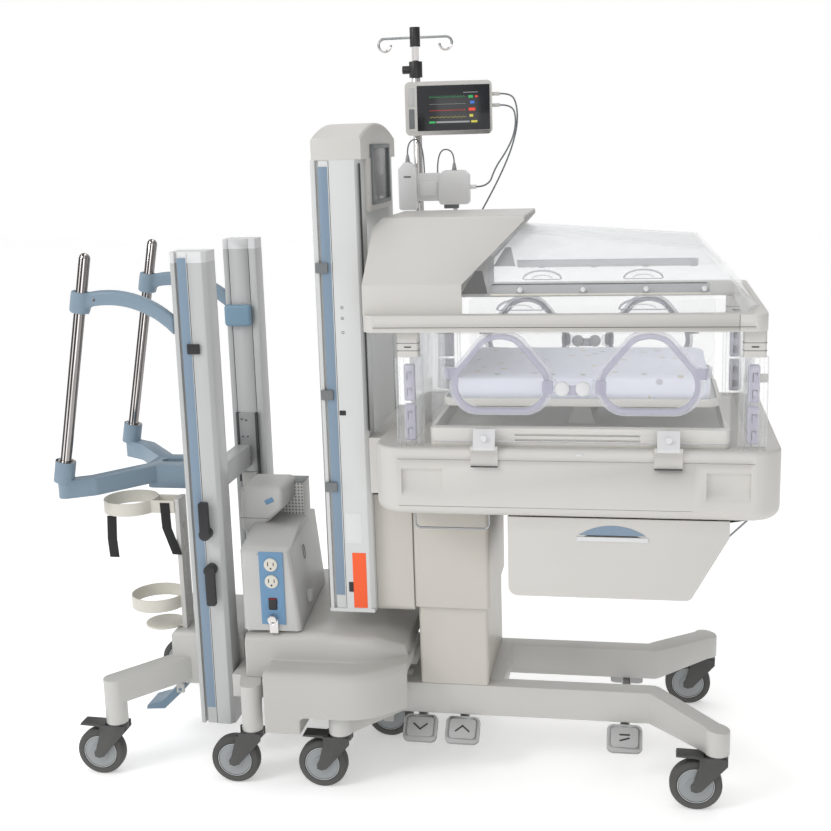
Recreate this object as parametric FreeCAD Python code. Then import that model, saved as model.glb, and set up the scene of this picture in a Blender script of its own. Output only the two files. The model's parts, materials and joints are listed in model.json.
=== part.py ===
import FreeCAD, Part
import math
import os

os.makedirs("parts", exist_ok=True)
V = FreeCAD.Vector

# Sizes are in millimetres. While modelling, X = 0 is the axis of the lift column, +X is the
# foot end, -Y is the near side, and Z = 0 is the floor. The move to the row frame is in save().

# Fits
seat_gap = 0.3
shaft_gap = 0.05
wall = 4.0
clear_wall = 5.0

# Casters
wheel_d = 125.0
tyre_w = 32.0
hub_d = 92.0
caster_trail = 48.0
axle_r = 6.0
fork_t = 6.0
fork_gap = 4.0
swivel_r = 27.0
swivel_stem_r = 10.0
swivel_stem_h = 36.0
wheel_head_room = 3.0
brake_pin_r = 3.0
brake_length = 58.0

# Incubator base
leg_bottom = 145.0
rail_h = 82.0
rail_w = 50.0
rail_spread = 136.0
leg_spread = 295.0
foot_stem_x = 648.0
head_stem_x = -270.0
foot_bend_x = 500.0
head_bend_x = -150.0
leg_boss_r = 30.0
leg_drop = 27.0
core_plate_h = 60.0
core_plate_half = 120.0

# Foot pedals
pedal_xs = [-87.0, 22.0, 430.0]
pedal_w = 88.0
pedal_h = 72.0
pedal_t = 10.0
pedal_slope = 43.0
pedal_bar_w = 16.0
pedal_bar_h = 10.0
pedal_bar_drop = 7.0
pedal_travel = 6.0

# Lift column
column_half_x = 88.0
column_half_y = 160.0
column_top = 700.0
sleeve_half_x = 96.0
sleeve_half_y = 172.0
sleeve_bottom = 437.0
shroud_wall = 3.0
column_corner_r = 9.0
pad_h = 50.0
pad_w = 60.0
mast_half = 45.0
mast_wall = 4.0
ram_bottom = 300.0
rear_box_bottom = 424.0
rear_box_corner = 18.0

# Bed shell
bed_bottom = 730.0
bed_top = 893.0
bed_head_x = -155.0
bed_foot_x = 775.0
bed_half_y = 345.0
bed_corner_r = 70.0
bed_edge_r = 26.0
bed_neck_half_y = 200.0
bed_neck_margin = 12.0
scoop_depth = 9.0
scoop_l = 96.0
scoop_h = 70.0
scoop_inset = 118.0
deck_opening_lip = 20.0

# Deck under the mattress
deck_x0 = -20.0
deck_x1 = 660.0
deck_inset = 30.0
deck_half_y = bed_half_y - deck_inset
deck_top = 935.0
deck_floor_t = 6.0
deck_side_t = 28.0
deck_end_t = 10.0
slot_l = 284.0
slot_h = 5.0
slot_depth = 8.0
slot_pitch = 12.0

# Mattress and its tilting tray
tray_l = 640.0
tray_w = 480.0
tray_z = 972.0
tray_t = 5.0
tray_rim_h = 18.0
tray_rim_t = 5.0
tilt_axis_z = 960.0
tilt_pin_r = 6.0
tilt_lug_w = 14.0
tilt_lug_y = 90.0
mattress_h = 62.0
mattress_side_gap = 4.0
mattress_corner_r = 30.0

# Uprights of the incubator
post_x0 = -308.0
post_x1 = -191.0
post_outer_y = 205.0
post_depth = 70.0
post_bottom = 430.0
post_top = 1549.0
post_bevel = 10.0
groove_w = 7.0
groove_depth = 12.0
strip_w = 23.0
strip_t = 3.0
strip_margin = 45.0
clip_w = 30.0
clip_h = 24.0
clip_t = 7.0
post_clip_zs = [757.0, 989.0, 1298.0]
post_cap_h = 9.0

# Display housing on top of the uprights
display_front_x = -182.0
display_back_x = -300.0
display_bottom = 1425.0
display_shoulder = 1600.0
display_crown = 1634.0
display_edge_r = 7.0
screen_w = 190.0
screen_h = 124.0
screen_t = 3.0

# Clear end walls and corner posts
head_wall_x = -65.0
foot_wall_x = 708.0
end_wall_half_y = 289.0
box_top = 1158.0
corner_post_l = 62.0
corner_post_w = 35.0
corner_post_outer_y = 325.0
corner_cap_h = 56.0
corner_port_r = 6.0
knob_r = 11.0
knob_l = 57.0
knob_z = 996.0

# Canopy: white hood, rim and clear shell
rim_bottom = 1162.0
rim_h = 38.0
rim_w = 34.0
rim_corner_r = 32.0
rim_foot_x = 735.0
hood_x0 = -168.0
hood_half_y = 320.0
hood_top = 1410.0
hood_top_half_y = 150.0
hood_nose_x = 190.0
hood_foot_x = 62.0
hood_cut_z = 1267.0
hood_lip = 12.0
hood_head_chamfer = 20.0
hood_edge_r = 16.0
lug_y0 = 145.0
lug_y1 = 200.0
lug_h = 100.0
shell_side_gap = 0.3
shell_side_z = 1243.0
shell_top_half_y = 148.0
shell_tuck_in = 16.0
shell_head_x = 164.0
shell_head_z = 1375.0
shell_foot_x = 600.0
shell_foot_z = 1338.0
shell_foot_gap = 10.0
shell_corner_l = 32.0
shell_corner_y = 198.0
shell_round_r = 30.0

# Side doors and portholes
door_x0 = -10.0
door_x1 = 658.0
door_bottom = 907.0
door_t = 6.0
door_clear = 18.0
door_y = deck_half_y + door_clear
door_corner_r = 12.0
port_half_w = 110.0
port_r = 62.0
port_base_drop = 28.0
port_xs = [150.0, 481.5]
port_z = 1067.0
port_ring_w = 11.0
port_ring_t = 9.0
port_pane_t = 3.5
port_hinge_off = 9.0
port_knuckle_r = 4.5
port_pin_r = 2.2
port_knuckle_h = 24.0
port_ear_h = 6.0
latch_w = 24.0
latch_h = 30.0
latch_t = 12.0

# Door hinges along the bottom edge
hinge_xs = [110.5, 524.5]
hinge_w = 63.0
hinge_out = 6.0
hinge_y = bed_half_y + hinge_out
hinge_z = 896.0
hinge_r = 5.5
hinge_pin_r = 2.5
hinge_ear_w = 6.0
hinge_leaf_t = 5.0
hinge_leaf_top = 938.0
hinge_plate_h = 36.0

# Wire bails under the bed shell
bail_r = 2.5
bail_drop = 42.0
bail_bend_r = 12.0
bail_y = 300.0
bail_x0 = -62.0
bail_x1 = 114.0
foot_bail_top_x = 745.0
foot_bail_low_x = 665.0
foot_bail_half = 92.0
foot_bail_drop = 110.0
foot_bail_y = -85.0

# Drawer
drawer_x0 = 160.0
drawer_top_x1 = 739.0
drawer_bottom_x1 = 578.0
drawer_bottom = 536.0
drawer_top_gap = 1.5
drawer_front_y = -330.0
drawer_back_y = 230.0
drawer_wall = 4.0
drawer_corner_r = 22.0
drawer_flange = 22.0
drawer_flange_t = 4.0
drawer_back_drop = 26.0
handle_w = 165.0
handle_rise = 27.0
handle_top_drop = 28.0
handle_depth = 14.0
handle_x = 401.0
runner_t = 5.0
runner_foot_t = 5.0
runner_y0 = -318.0
runner_side_gap = 3.0
runner_overlap = 10.0

# Infusion pole, monitor and sensor modules on the far side
pole_x = -150.0
pole_y = 372.0
pole_r = 12.0
rod_r = 9.5
pole_bottom = 1100.0
pole_top = 1757.0
collar_h = 42.0
collar_r = 18.0
rod_bottom = 1360.0
rod_reach = 39.0
head_bottom = pole_top + collar_h + rod_reach
head_h = 51.0
head_r = 14.0
hook_r = 3.5
hook_reach = 84.0
hook_curl_r = 17.0
hook_drop = 24.0
bracket_zs = [1125.0, 1335.0]
bracket_h = 26.0
bracket_arm_w = 30.0
bracket_x = -262.0
monitor_w = 236.0
monitor_h = 142.0
monitor_t = 26.0
monitor_corner_r = 14.0
monitor_drop = 155.0
monitor_bottom = pole_top - monitor_drop
monitor_turn = 10.0
monitor_cx = -60.0
monitor_back_gap = 3.5
jaw_r = 21.0
jaw_h = 48.0
glass_margin = 11.0
glass_t = 1.5
module_t = 30.0
sensor_plate_w = 62.0
sensor_plate_z0 = 1425.0
sensor_plate_h = 76.0
left_module_w = 50.0
left_module_z0 = 1402.0
left_module_h = 130.0
right_module_w = 84.0
right_module_z0 = 1415.0
right_module_h = 92.0
module_corner_r = 9.0
module_shoulder = 18.0
relief_r = 7.0
relief_l = 20.0
gland_r = 6.0
gland_l = 18.0

# Leads of the monitor and the modules, as routes of hand-set points
lead_r = 2.3
loop_lead_r = 2.0
plug_r = 5.0
plug_l = 22.0

# Transport shuttle: frame
shuttle_rear_stem_x = -862.0
shuttle_front_stem_x = -498.0
shuttle_spread = 300.0
shuttle_leg_r = 28.0
box_x0 = -760.0
box_x1 = -560.0
box_half_y = 150.0
box_bottom = 190.0
box_h = 145.0
box_edge_r = 14.0
yoke_x1 = -470.0
yoke_half_y = 250.0
yoke_bottom = 206.0
yoke_h = 60.0
leg_root_x = -720.0
leg_root_y = 118.0
leg_root_h = 62.0
fifth_x = -204.0
fifth_w = 36.0
fifth_arm_bottom = 150.0
fifth_arm_h = 48.0
fifth_fork_t = 8.0
fifth_fork_gap = 4.0
tongue_half = 18.0
tongue_h = 24.0
bracket_plate_x = -735.0
bracket_plate_t = 12.0
bracket_plate_y = -100.0
bracket_plate_w = 54.0
bracket_plate_top = 668.0
bracket_hole_r = 7.0
bracket_hole_pitch = 62.0

# Transport shuttle: cover
cover_x0 = -520.0
cover_x1 = -105.0
cover_half_y = 262.0
cover_top = 378.0
cover_crown = 390.0
cover_edge_r = 24.0
skirt_x0 = -452.0
skirt_half_y = 345.0
skirt_bottom = 200.0
skirt_top = 316.0
skirt_foot_x1 = -361.0
skirt_foot_bottom = 156.0
skirt_foot_depth = 96.0

# Transport shuttle: uprights, battery box, handle
mast_x0 = -660.0
mast_x1 = -569.0
mast_outer_y = 235.0
mast_depth = 70.0
mast_bottom = 120.0
mast_top = 1343.0
tie_bar_z = 712.0
tie_bar_h = 60.0
tie_bar_t = 40.0
battery_x0 = -524.0
battery_x1 = -345.0
battery_nose_x = -315.0
battery_nose_z = 476.0
battery_top_x = -372.0
battery_top = 764.0
battery_near_y = -250.0
battery_far_y = 130.0
battery_edge_r = 14.0
outlet_x = -442.0
outlet_w = 62.0
outlet_z0 = 408.0
outlet_h = 190.0
outlet_t = 3.0
socket_r = 17.0
socket_zs = [566.0, 522.0]
switch_z = 462.0
switch_w = 20.0
switch_h = 30.0
switch_t = 10.0
switch_pin_r = 2.0
bar_r = 14.0
bar_y = 220.0
bar_top_x = -881.0
bar_top_z = 1343.0
bar_bottom_x = -989.0
bar_bottom_z = 770.0
upper_clamp_z = 1222.0
lower_clamp_z = 789.0
clamp_r = 26.0
clamp_h = 56.0
arm_t = 26.0
arm_h = 38.0
arm_end_z = 1160.0
fork_arm_h = 46.0
fork_arm_w = 40.0
hub_half_y = 62.0
hub_x0 = -835.0
hub_slot_l = 62.0
hub_slot_w = 36.0

# Tank holders
ring_t = 3.0
ring_h = 34.0
upper_ring_x = -864.0
upper_ring_z = 655.0
upper_ring_r = 72.0
lower_ring_x = -807.0
lower_ring_z = 392.0
ring_arm_half = 30.0
saucer_z = 338.0
saucer_r = 52.0
saucer_t = 6.0
strap_w = 26.0
strap_t = 2.4
strap_off = -30.0

# Clamp levers and dock pedal
lever_hub_r = 15.0
lever_hub_l = 26.0
lever_pin_r = 5.0
lever_pin_l = 12.0
lever_bar_w = 24.0
lever_bar_t = 12.0
upper_lever = (-608.0, 640.0, 84.0)
lower_lever = (-602.0, 545.0, -92.0)
dock_pin_x = -744.0
dock_pin_z = 172.0
dock_pin_r = 5.0
dock_y0 = -148.0
dock_y1 = -52.0
dock_t = 11.0

# Worked-out places
leg_top = leg_bottom + rail_h
caster_top = leg_bottom - seat_gap
wheel_r = wheel_d / 2
fork_inner = tyre_w / 2 + fork_gap
fork_outer = fork_inner + fork_t
door_centre_x = (door_x0 + door_x1) / 2
bed_centre_x = (deck_x0 + deck_x1) / 2
rim_top = rim_bottom + rim_h
handle_slope = (bar_bottom_x - bar_top_x) / (bar_bottom_z - bar_top_z)


def bar_x(z):
    return bar_top_x + handle_slope * (z - bar_top_z)


# Overall reach, for the origin under the middle of the part
handle_lean = math.atan(handle_slope)
reach_x0 = bar_x(lower_clamp_z) - clamp_h / 2 * math.sin(handle_lean) - clamp_r * math.cos(handle_lean)
reach_x1 = bed_foot_x
reach_y0 = -(hinge_y + hinge_r)
reach_y1 = pole_y + jaw_r
origin_x = (reach_x0 + reach_x1) / 2
origin_y = (reach_y0 + reach_y1) / 2


def save(name, solids):
    """Write the solids of one node as a STEP file, moved to the row frame."""
    shape = Part.makeCompound(solids) if len(solids) > 1 else solids[0]
    shape = shape.copy()
    shape.translate(V(-origin_x, -origin_y, 0))
    shape.exportStep("parts/" + name + ".step")


def block(x0, x1, y0, y1, z0, z1):
    """A box from its two corners."""
    return Part.makeBox(x1 - x0, y1 - y0, z1 - z0, V(x0, y0, z0))


def face_xy(points, z):
    return Part.Face(Part.makePolygon([V(x, y, z) for x, y in points + points[:1]]))


def prism_z(points, z0, z1):
    """An outline in plan, raised from z0 to z1."""
    return face_xy(points, z0).extrude(V(0, 0, z1 - z0))


def prism_y(points, y0, y1):
    """An outline seen from the side (x, z), drawn from y0 to y1."""
    wire = Part.makePolygon([V(x, y0, z) for x, z in points + points[:1]])
    return Part.Face(wire).extrude(V(0, y1 - y0, 0))


def prism_x(points, x0, x1):
    """An outline seen from the end (y, z), drawn from x0 to x1."""
    wire = Part.makePolygon([V(x0, y, z) for y, z in points + points[:1]])
    return Part.Face(wire).extrude(V(x1 - x0, 0, 0))


def rod(start, end, radius):
    """A round bar between two points."""
    axis = end.sub(start)
    return Part.makeCylinder(radius, axis.Length, start, axis)


def slab(x0, x1, y0, y1, z0, z1, radius):
    """A plate with round corners in plan."""
    body = block(x0, x1, y0, y1, z0, z1)
    edges = [e for e in body.Edges if is_along(e, V(0, 0, 1))]
    return body.makeFillet(radius, edges)


def is_along(edge, axis):
    if len(edge.Vertexes) < 2:
        return False
    run = edge.Vertexes[1].Point.sub(edge.Vertexes[0].Point)
    return run.Length > 0 and abs(run.normalize().dot(axis)) > 0.999


def band(points, half_width, z0, z1):
    """A strip of constant width along a path in plan, with round ends and bends."""
    path = Part.makePolygon([V(x, y, z0) for x, y in points])
    outline = path.makeOffset2D(half_width, 0, False, False)
    return Part.Face(outline).extrude(V(0, 0, z1 - z0))


def straight_leg(root, foot, half_width, z0, z1):
    """A straight leg in plan from a root to a round foot."""
    run = foot.sub(root)
    side = V(-run.y, run.x, 0).normalize() * half_width
    corners = [root.add(side), foot.add(side), foot.sub(side), root.sub(side)]
    leg = prism_z([(p.x, p.y) for p in corners], z0, z1)
    return leg.fuse(Part.makeCylinder(half_width, z1 - z0, V(foot.x, foot.y, z0)))


def mirror_y(shape):
    return shape.mirror(V(0, 0, 0), V(0, 1, 0))


def both_sides(shape):
    return [shape, mirror_y(shape)]


def rounded(body, radius, keep):
    """Round the edges of a body that the test picks."""
    edges = [e for e in body.Edges if keep(e)]
    return body.makeFillet(radius, edges)


def join(solids):
    """Fuse pieces into one solid."""
    shape = solids[0].multiFuse(solids[1:]).removeSplitter()
    return shape.Solids[0]


# Casters


def caster_fork(x, y):
    """Swivel head with its stem, two fork cheeks and the axle they hold."""
    head_bottom_z = wheel_d + wheel_head_room
    head = Part.makeCylinder(swivel_r, caster_top - head_bottom_z, V(0, 0, head_bottom_z))
    stem = Part.makeCylinder(swivel_stem_r, swivel_stem_h + seat_gap, V(0, 0, caster_top))
    cheek_profile = [
        (-caster_trail - 12, wheel_r - 9),
        (-caster_trail + 12, wheel_r - 9),
        (swivel_r - 2, head_bottom_z - 6),
        (swivel_r - 2, caster_top - 4),
        (-swivel_r - 14, caster_top - 4),
        (-swivel_r - 14, head_bottom_z - 8),
    ]
    cheek = prism_y(cheek_profile, fork_inner, fork_outer)
    brake_hole = Part.makeCylinder(brake_pin_r + shaft_gap, fork_t, brake_pivot(fork_inner), V(0, 1, 0))
    cheek = cheek.cut(brake_hole)
    end = Part.makeCylinder(12, fork_t, V(-caster_trail, fork_inner, wheel_r), V(0, 1, 0))
    cheek = cheek.fuse(end)
    bridge = block(-swivel_r - 1, swivel_r - 5, fork_inner - 1, fork_outer, head_bottom_z, caster_top - 4)
    side = cheek.fuse(bridge).cut(brake_hole)
    axle = rod(V(-caster_trail, -fork_inner, wheel_r), V(-caster_trail, fork_inner, wheel_r), axle_r)
    fork = join([head, stem, side, mirror_y(side), axle])
    fork.translate(V(x, y, 0))
    return [fork]


def brake_pivot(y):
    return V(-swivel_r - 8, y, caster_top - 9)


def caster_wheel(x, y, width):
    """Hub with its bore, and the tyre on it."""
    centre = V(x, y - width / 2, wheel_r)
    along = V(0, 1, 0)
    hub = Part.makeCylinder(hub_d / 2, width, centre, along)
    hub = hub.cut(Part.makeCylinder(axle_r + shaft_gap, width, centre, along))
    tyre = Part.makeCylinder(wheel_r, width, centre, along)
    tyre = tyre.cut(Part.makeCylinder(hub_d / 2, width, centre, along))
    return [hub, tyre]


def brake_lever(x, y):
    """Foot lever on its pin between the fork cheeks, above the wheel."""
    pin = brake_pivot(0)
    half = fork_inner - seat_gap
    tip_x = pin.x - brake_length
    profile = [
        (pin.x + 6, pin.z - 4),
        (pin.x + 6, pin.z + 4),
        (pin.x - 8, pin.z + 6),
        (tip_x, pin.z + 7),
        (tip_x - 3, pin.z + 1),
        (pin.x - 14, pin.z - 1),
        (pin.x - 4, pin.z - 5),
    ]
    lever = prism_y(profile, -half, half)
    shaft = rod(V(pin.x, -fork_outer, pin.z), V(pin.x, fork_outer, pin.z), brake_pin_r)
    lever = lever.fuse(shaft).Solids[0]
    lever.translate(V(x, y, 0))
    return [lever]


# Incubator base


def base_frame():
    """Two rails with splayed, falling legs, joined by the plate that carries the column."""
    sides = []
    path = [
        (head_stem_x, -leg_spread),
        (head_bend_x, -rail_spread),
        (foot_bend_x, -rail_spread),
        (foot_stem_x, -leg_spread),
    ]
    side = band(path, rail_w / 2, leg_bottom, leg_top)
    for x in (head_stem_x, foot_stem_x):
        side = side.fuse(Part.makeCylinder(leg_boss_r, rail_h, V(x, -leg_spread, leg_bottom)))
    for bend, stem in ((head_bend_x, head_stem_x), (foot_bend_x, foot_stem_x)):
        sign = 1 if stem > bend else -1
        far = stem + sign * leg_boss_r * 2
        fall = [(bend, leg_top), (far, leg_top + 1), (far, leg_top - leg_drop)]
        side = side.cut(prism_y(fall, -leg_spread * 2, 0))
    for x in (head_stem_x, foot_stem_x):
        hole = Part.makeCylinder(swivel_stem_r + shaft_gap, swivel_stem_h + 1, V(x, -leg_spread, leg_bottom))
        side = side.cut(hole)
    for x in pedal_xs:
        side = side.fuse(pedal_stirrup(x))
    sides = both_sides(side)
    inner = rail_spread - rail_w / 2
    plate = block(-core_plate_half, core_plate_half, -inner - 2, inner + 2, leg_top - core_plate_h, leg_top)
    return [join(sides + [plate])]


def pedal_bar_z():
    top = leg_bottom - pedal_bar_drop
    return top - pedal_bar_h, top


def pedal_stirrup(x):
    """Hanger under a rail that a pedal bar slides in."""
    low, high = pedal_bar_z()
    half = pedal_bar_w / 2 + 4
    body = block(x - half, x + half, -rail_spread - 8, -rail_spread + 8, low - pedal_travel - 4, leg_bottom)
    side_gap = pedal_bar_w / 2 + seat_gap
    window = block(
        x - side_gap, x + side_gap, -rail_spread - 9, -rail_spread + 9,
        low - pedal_travel - seat_gap, high + seat_gap,
    )
    return body.cut(window)


def pedal(x):
    """Cross bar under the rails with a sloping pad and its cover at each end."""
    low, high = pedal_bar_z()
    slope = math.radians(pedal_slope)
    plate = slab(-pedal_w / 2, pedal_w / 2, -pedal_h / 2, pedal_h / 2, -pedal_t / 2, pedal_t / 2, 16)
    cover = slab(
        -pedal_w / 2 + 10, pedal_w / 2 - 10, -pedal_h / 2 + 12, pedal_h / 2 - 8,
        pedal_t / 2, pedal_t / 2 + 2, 10,
    )
    centre_y = -rail_spread - rail_w / 2 - pedal_h / 2 * math.cos(slope)
    centre_z = high - pedal_h / 2 * math.sin(slope)
    for piece in (plate, cover):
        piece.rotate(V(0, 0, 0), V(1, 0, 0), pedal_slope)
        piece.translate(V(x, centre_y, centre_z))
    end_y = centre_y + pedal_h / 4
    bar = block(x - pedal_bar_w / 2, x + pedal_bar_w / 2, end_y, -end_y, low, high)
    body = join([bar, plate, mirror_y(plate)])
    body = body.cut(cover).cut(mirror_y(cover)).Solids[0]
    return [body, cover, mirror_y(cover)]


# Lift column


def tube_box(half_x, half_y, z0, z1, thick, radius):
    """An upright tube of rectangular section with round corners."""
    outer = slab(-half_x, half_x, -half_y, half_y, z0, z1, radius)
    in_x = half_x - thick
    in_y = half_y - thick
    inner = slab(-in_x, in_x, -in_y, in_y, z0 - 1, z1 + 1, radius - thick)
    return outer.cut(inner)


def column_lower():
    """Lower shroud with its guide pads, and the outer tube of the lift inside it."""
    shroud = tube_box(column_half_x, column_half_y, leg_top, column_top, shroud_wall, column_corner_r)
    reach_x = sleeve_half_x - shroud_wall - seat_gap
    reach_y = sleeve_half_y - shroud_wall - seat_gap
    z0 = column_top - pad_h
    pieces = [shroud]
    for sign in (-1, 1):
        x0, x1 = sorted((sign * (column_half_x - 1), sign * reach_x))
        y0, y1 = sorted((sign * (column_half_y - 1), sign * reach_y))
        pieces.append(block(x0, x1, -pad_w / 2, pad_w / 2, z0, column_top))
        pieces.append(block(-pad_w / 2, pad_w / 2, y0, y1, z0, column_top))
    mast = tube_box(mast_half, mast_half, leg_top, column_top, mast_wall, mast_wall + 2)
    return [join(pieces), mast]


def column_upper():
    """Upper sleeve over the lower shroud, the moving ram inside, and the rear controller box."""
    sleeve = tube_box(sleeve_half_x, sleeve_half_y, sleeve_bottom, bed_bottom, shroud_wall, column_corner_r + 3)
    ram_half = mast_half - mast_wall - seat_gap
    ram = tube_box(ram_half, ram_half, ram_bottom, bed_bottom, mast_wall, mast_wall + 2)
    rear = block(post_x1, -sleeve_half_x, -sleeve_half_y, sleeve_half_y, rear_box_bottom, bed_bottom)
    low = rear.BoundBox.ZMin
    rear = rounded(rear, rear_box_corner, lambda e: is_low_edge(e, low) and not is_along(e, V(0, 1, 0)))
    thin = block(
        post_x1 + wall, -sleeve_half_x - wall, -sleeve_half_y + wall, sleeve_half_y - wall,
        rear_box_bottom + rear_box_corner, bed_bottom,
    )
    return [sleeve, ram, rear.cut(thin)]


def is_low_edge(edge, z):
    return abs(edge.BoundBox.ZMax - z) < 0.01


def is_top_edge(edge, z):
    return abs(edge.BoundBox.ZMin - z) < 0.01


# Bed shell and deck


def bed_form(inset):
    """Outside of the bed shell, or the same form moved in by the wall."""
    body = slab(
        bed_head_x + inset, bed_foot_x - inset, -bed_half_y + inset, bed_half_y - inset,
        bed_bottom + inset, bed_top - inset, bed_corner_r - inset,
    )
    low = body.BoundBox.ZMin
    high = body.BoundBox.ZMax
    body = rounded(body, bed_edge_r - inset, lambda e: is_low_edge(e, low))
    if inset == 0:
        body = rounded(body, bed_edge_r / 3, lambda e: is_top_edge(e, high))
    neck = block(
        post_x1 + inset, bed_head_x + bed_corner_r, -bed_neck_half_y + inset, bed_neck_half_y - inset,
        bed_bottom + bed_neck_margin + inset, bed_top - bed_neck_margin - inset,
    )
    return body.fuse(neck)


def scoop(x, grow):
    """Shallow grip recess in the near side of the bed shell."""
    z = (bed_bottom + bed_top) / 2
    half_l = scoop_l / 2 + grow
    half_h = scoop_h / 2 + grow
    back = -bed_half_y + scoop_depth + grow
    outline = [
        (-bed_half_y - 1, z + half_h),
        (back, z + half_h - scoop_depth),
        (back, z - half_h + scoop_depth * 2),
        (-bed_half_y - 1, z - half_h),
    ]
    return prism_x(outline, x - half_l, x + half_l)


def bed_shell():
    """Moulded tub under the deck, with grip recesses and the two drawer runners below it."""
    outer = bed_form(0)
    cavity = bed_form(wall)
    for x in (bed_head_x + scoop_inset, bed_foot_x - scoop_inset):
        for cut, hollow in zip(both_sides(scoop(x, 0)), both_sides(scoop(x, wall))):
            outer = outer.cut(cut)
            cavity = cavity.cut(hollow)
    lip = deck_opening_lip
    opening = block(
        deck_x0 + lip, deck_x1 - lip, -deck_half_y + lip, deck_half_y - lip, bed_top - wall * 2, bed_top + 1,
    )
    shell = outer.cut(cavity).cut(opening).Solids[0]
    return [shell] + drawer_runners()


def bed_deck():
    """Pan under the mattress with slotted side ledges and the tilt pedestals on its floor."""
    body = slab(deck_x0, deck_x1, -deck_half_y, deck_half_y, bed_top, deck_top, 14)
    pan = block(
        deck_x0 + deck_end_t, deck_x1 - deck_end_t, -deck_half_y + deck_side_t, deck_half_y - deck_side_t,
        bed_top + deck_floor_t, deck_top + 1,
    )
    body = body.cut(pan)
    slot_z = (bed_top + deck_top) / 2
    for shift in (-slot_pitch / 2, slot_pitch / 2):
        z = slot_z + shift
        slot = block(
            bed_centre_x - slot_l / 2, bed_centre_x + slot_l / 2, -deck_half_y - 1, -deck_half_y + slot_depth,
            z - slot_h / 2, z + slot_h / 2,
        )
        for cut in both_sides(slot):
            body = body.cut(cut)
    floor = bed_top + deck_floor_t
    pieces = [body]
    for y in (-tilt_lug_y, tilt_lug_y):
        foot = [(bed_centre_x - 34, floor - 1), (bed_centre_x + 34, floor - 1)]
        head = [(bed_centre_x + 11, tilt_axis_z + 9), (bed_centre_x - 11, tilt_axis_z + 9)]
        lug = prism_y(foot + head, y - tilt_lug_w / 2, y + tilt_lug_w / 2)
        hole = Part.makeCylinder(tilt_pin_r + shaft_gap, 80, V(bed_centre_x, y - 40, tilt_axis_z), V(0, 1, 0))
        pieces.append(lug.cut(hole))
    return [join(pieces)]


def mattress_tray():
    """Tilting tray with a raised rim, hung on a pin through its four lugs."""
    x0 = bed_centre_x - tray_l / 2
    x1 = bed_centre_x + tray_l / 2
    half_y = tray_w / 2
    tray = slab(x0, x1, -half_y, half_y, tray_z, tray_z + tray_rim_h, mattress_corner_r + 4)
    pocket = slab(
        x0 + tray_rim_t, x1 - tray_rim_t, -half_y + tray_rim_t, half_y - tray_rim_t,
        tray_z + tray_t, tray_z + tray_rim_h + 1, mattress_corner_r,
    )
    pieces = [tray.cut(pocket)]
    reach = tilt_lug_y + tilt_lug_w / 2
    pieces.append(rod(V(bed_centre_x, -reach - 12, tilt_axis_z), V(bed_centre_x, reach + 12, tilt_axis_z), tilt_pin_r))
    for y in (-tilt_lug_y, tilt_lug_y):
        for side in (-1, 1):
            inner = y + side * (tilt_lug_w / 2 + seat_gap)
            outer = y + side * (tilt_lug_w / 2 + seat_gap + 8)
            y0, y1 = sorted((inner, outer))
            pieces.append(block(bed_centre_x - 11, bed_centre_x + 11, y0, y1, tilt_axis_z - 9, tray_z + 1))
    return [join(pieces)]


def mattress():
    inset = tray_rim_t + mattress_side_gap
    x0 = bed_centre_x - tray_l / 2 + inset
    x1 = bed_centre_x + tray_l / 2 - inset
    half_y = tray_w / 2 - inset
    z0 = tray_z + tray_t + seat_gap
    return [slab(x0, x1, -half_y, half_y, z0, z0 + mattress_h, mattress_corner_r)]


# Uprights


def grooved_post(x0, x1, outer_y, depth, z0, z1, cap):
    """Near upright: a section with a channel and a recess for its strip, the strip, and an end cap."""
    recess_x0 = x0 + 19
    recess_x1 = recess_x0 + strip_w
    near = -outer_y
    back = near + depth
    outline = [
        (x0, near + 4),
        (x0 + 4, near),
        (recess_x0 - groove_w, near),
        (recess_x0 - groove_w, near + groove_depth),
        (recess_x0, near + groove_depth),
        (recess_x0, near + strip_t),
        (recess_x1, near + strip_t),
        (recess_x1, near),
        (x1 - post_bevel, near),
        (x1, near + post_bevel),
        (x1, back),
        (x0, back),
    ]
    post = prism_z(outline, z0 + cap, z1)
    hollow = block(x0 + 8, x1 - 8, near + groove_depth + 6, back - 6, z0 + cap - 1, z1 - 6)
    post = post.cut(hollow)
    strip = block(recess_x0, recess_x1, near, near + strip_t, z0 + strip_margin, z1 - strip_margin / 3)
    pieces = [post, strip]
    if cap > 0:
        end = slab(x0, x1, near, back, z0, z0 + cap, 4)
        pieces.append(end)
    return pieces


def upright_pair(x0, x1, outer_y, depth, z0, z1, cap):
    solids = []
    for piece in grooved_post(x0, x1, outer_y, depth, z0, z1, cap):
        solids += both_sides(piece)
    return solids


def edge_clip(x, z, outer_y):
    """Cable clip that grips the corner of an upright."""
    return block(x - clip_w / 2, x + clip_w / 2, -outer_y - clip_t, -outer_y, z - clip_h / 2, z + clip_h / 2)


def bed_uprights():
    solids = upright_pair(post_x0, post_x1, post_outer_y, post_depth, post_bottom, post_top, post_cap_h)
    for z in post_clip_zs:
        solids += both_sides(edge_clip(post_x0 + clip_w / 2 + 4, z, post_outer_y))
    return solids


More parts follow.
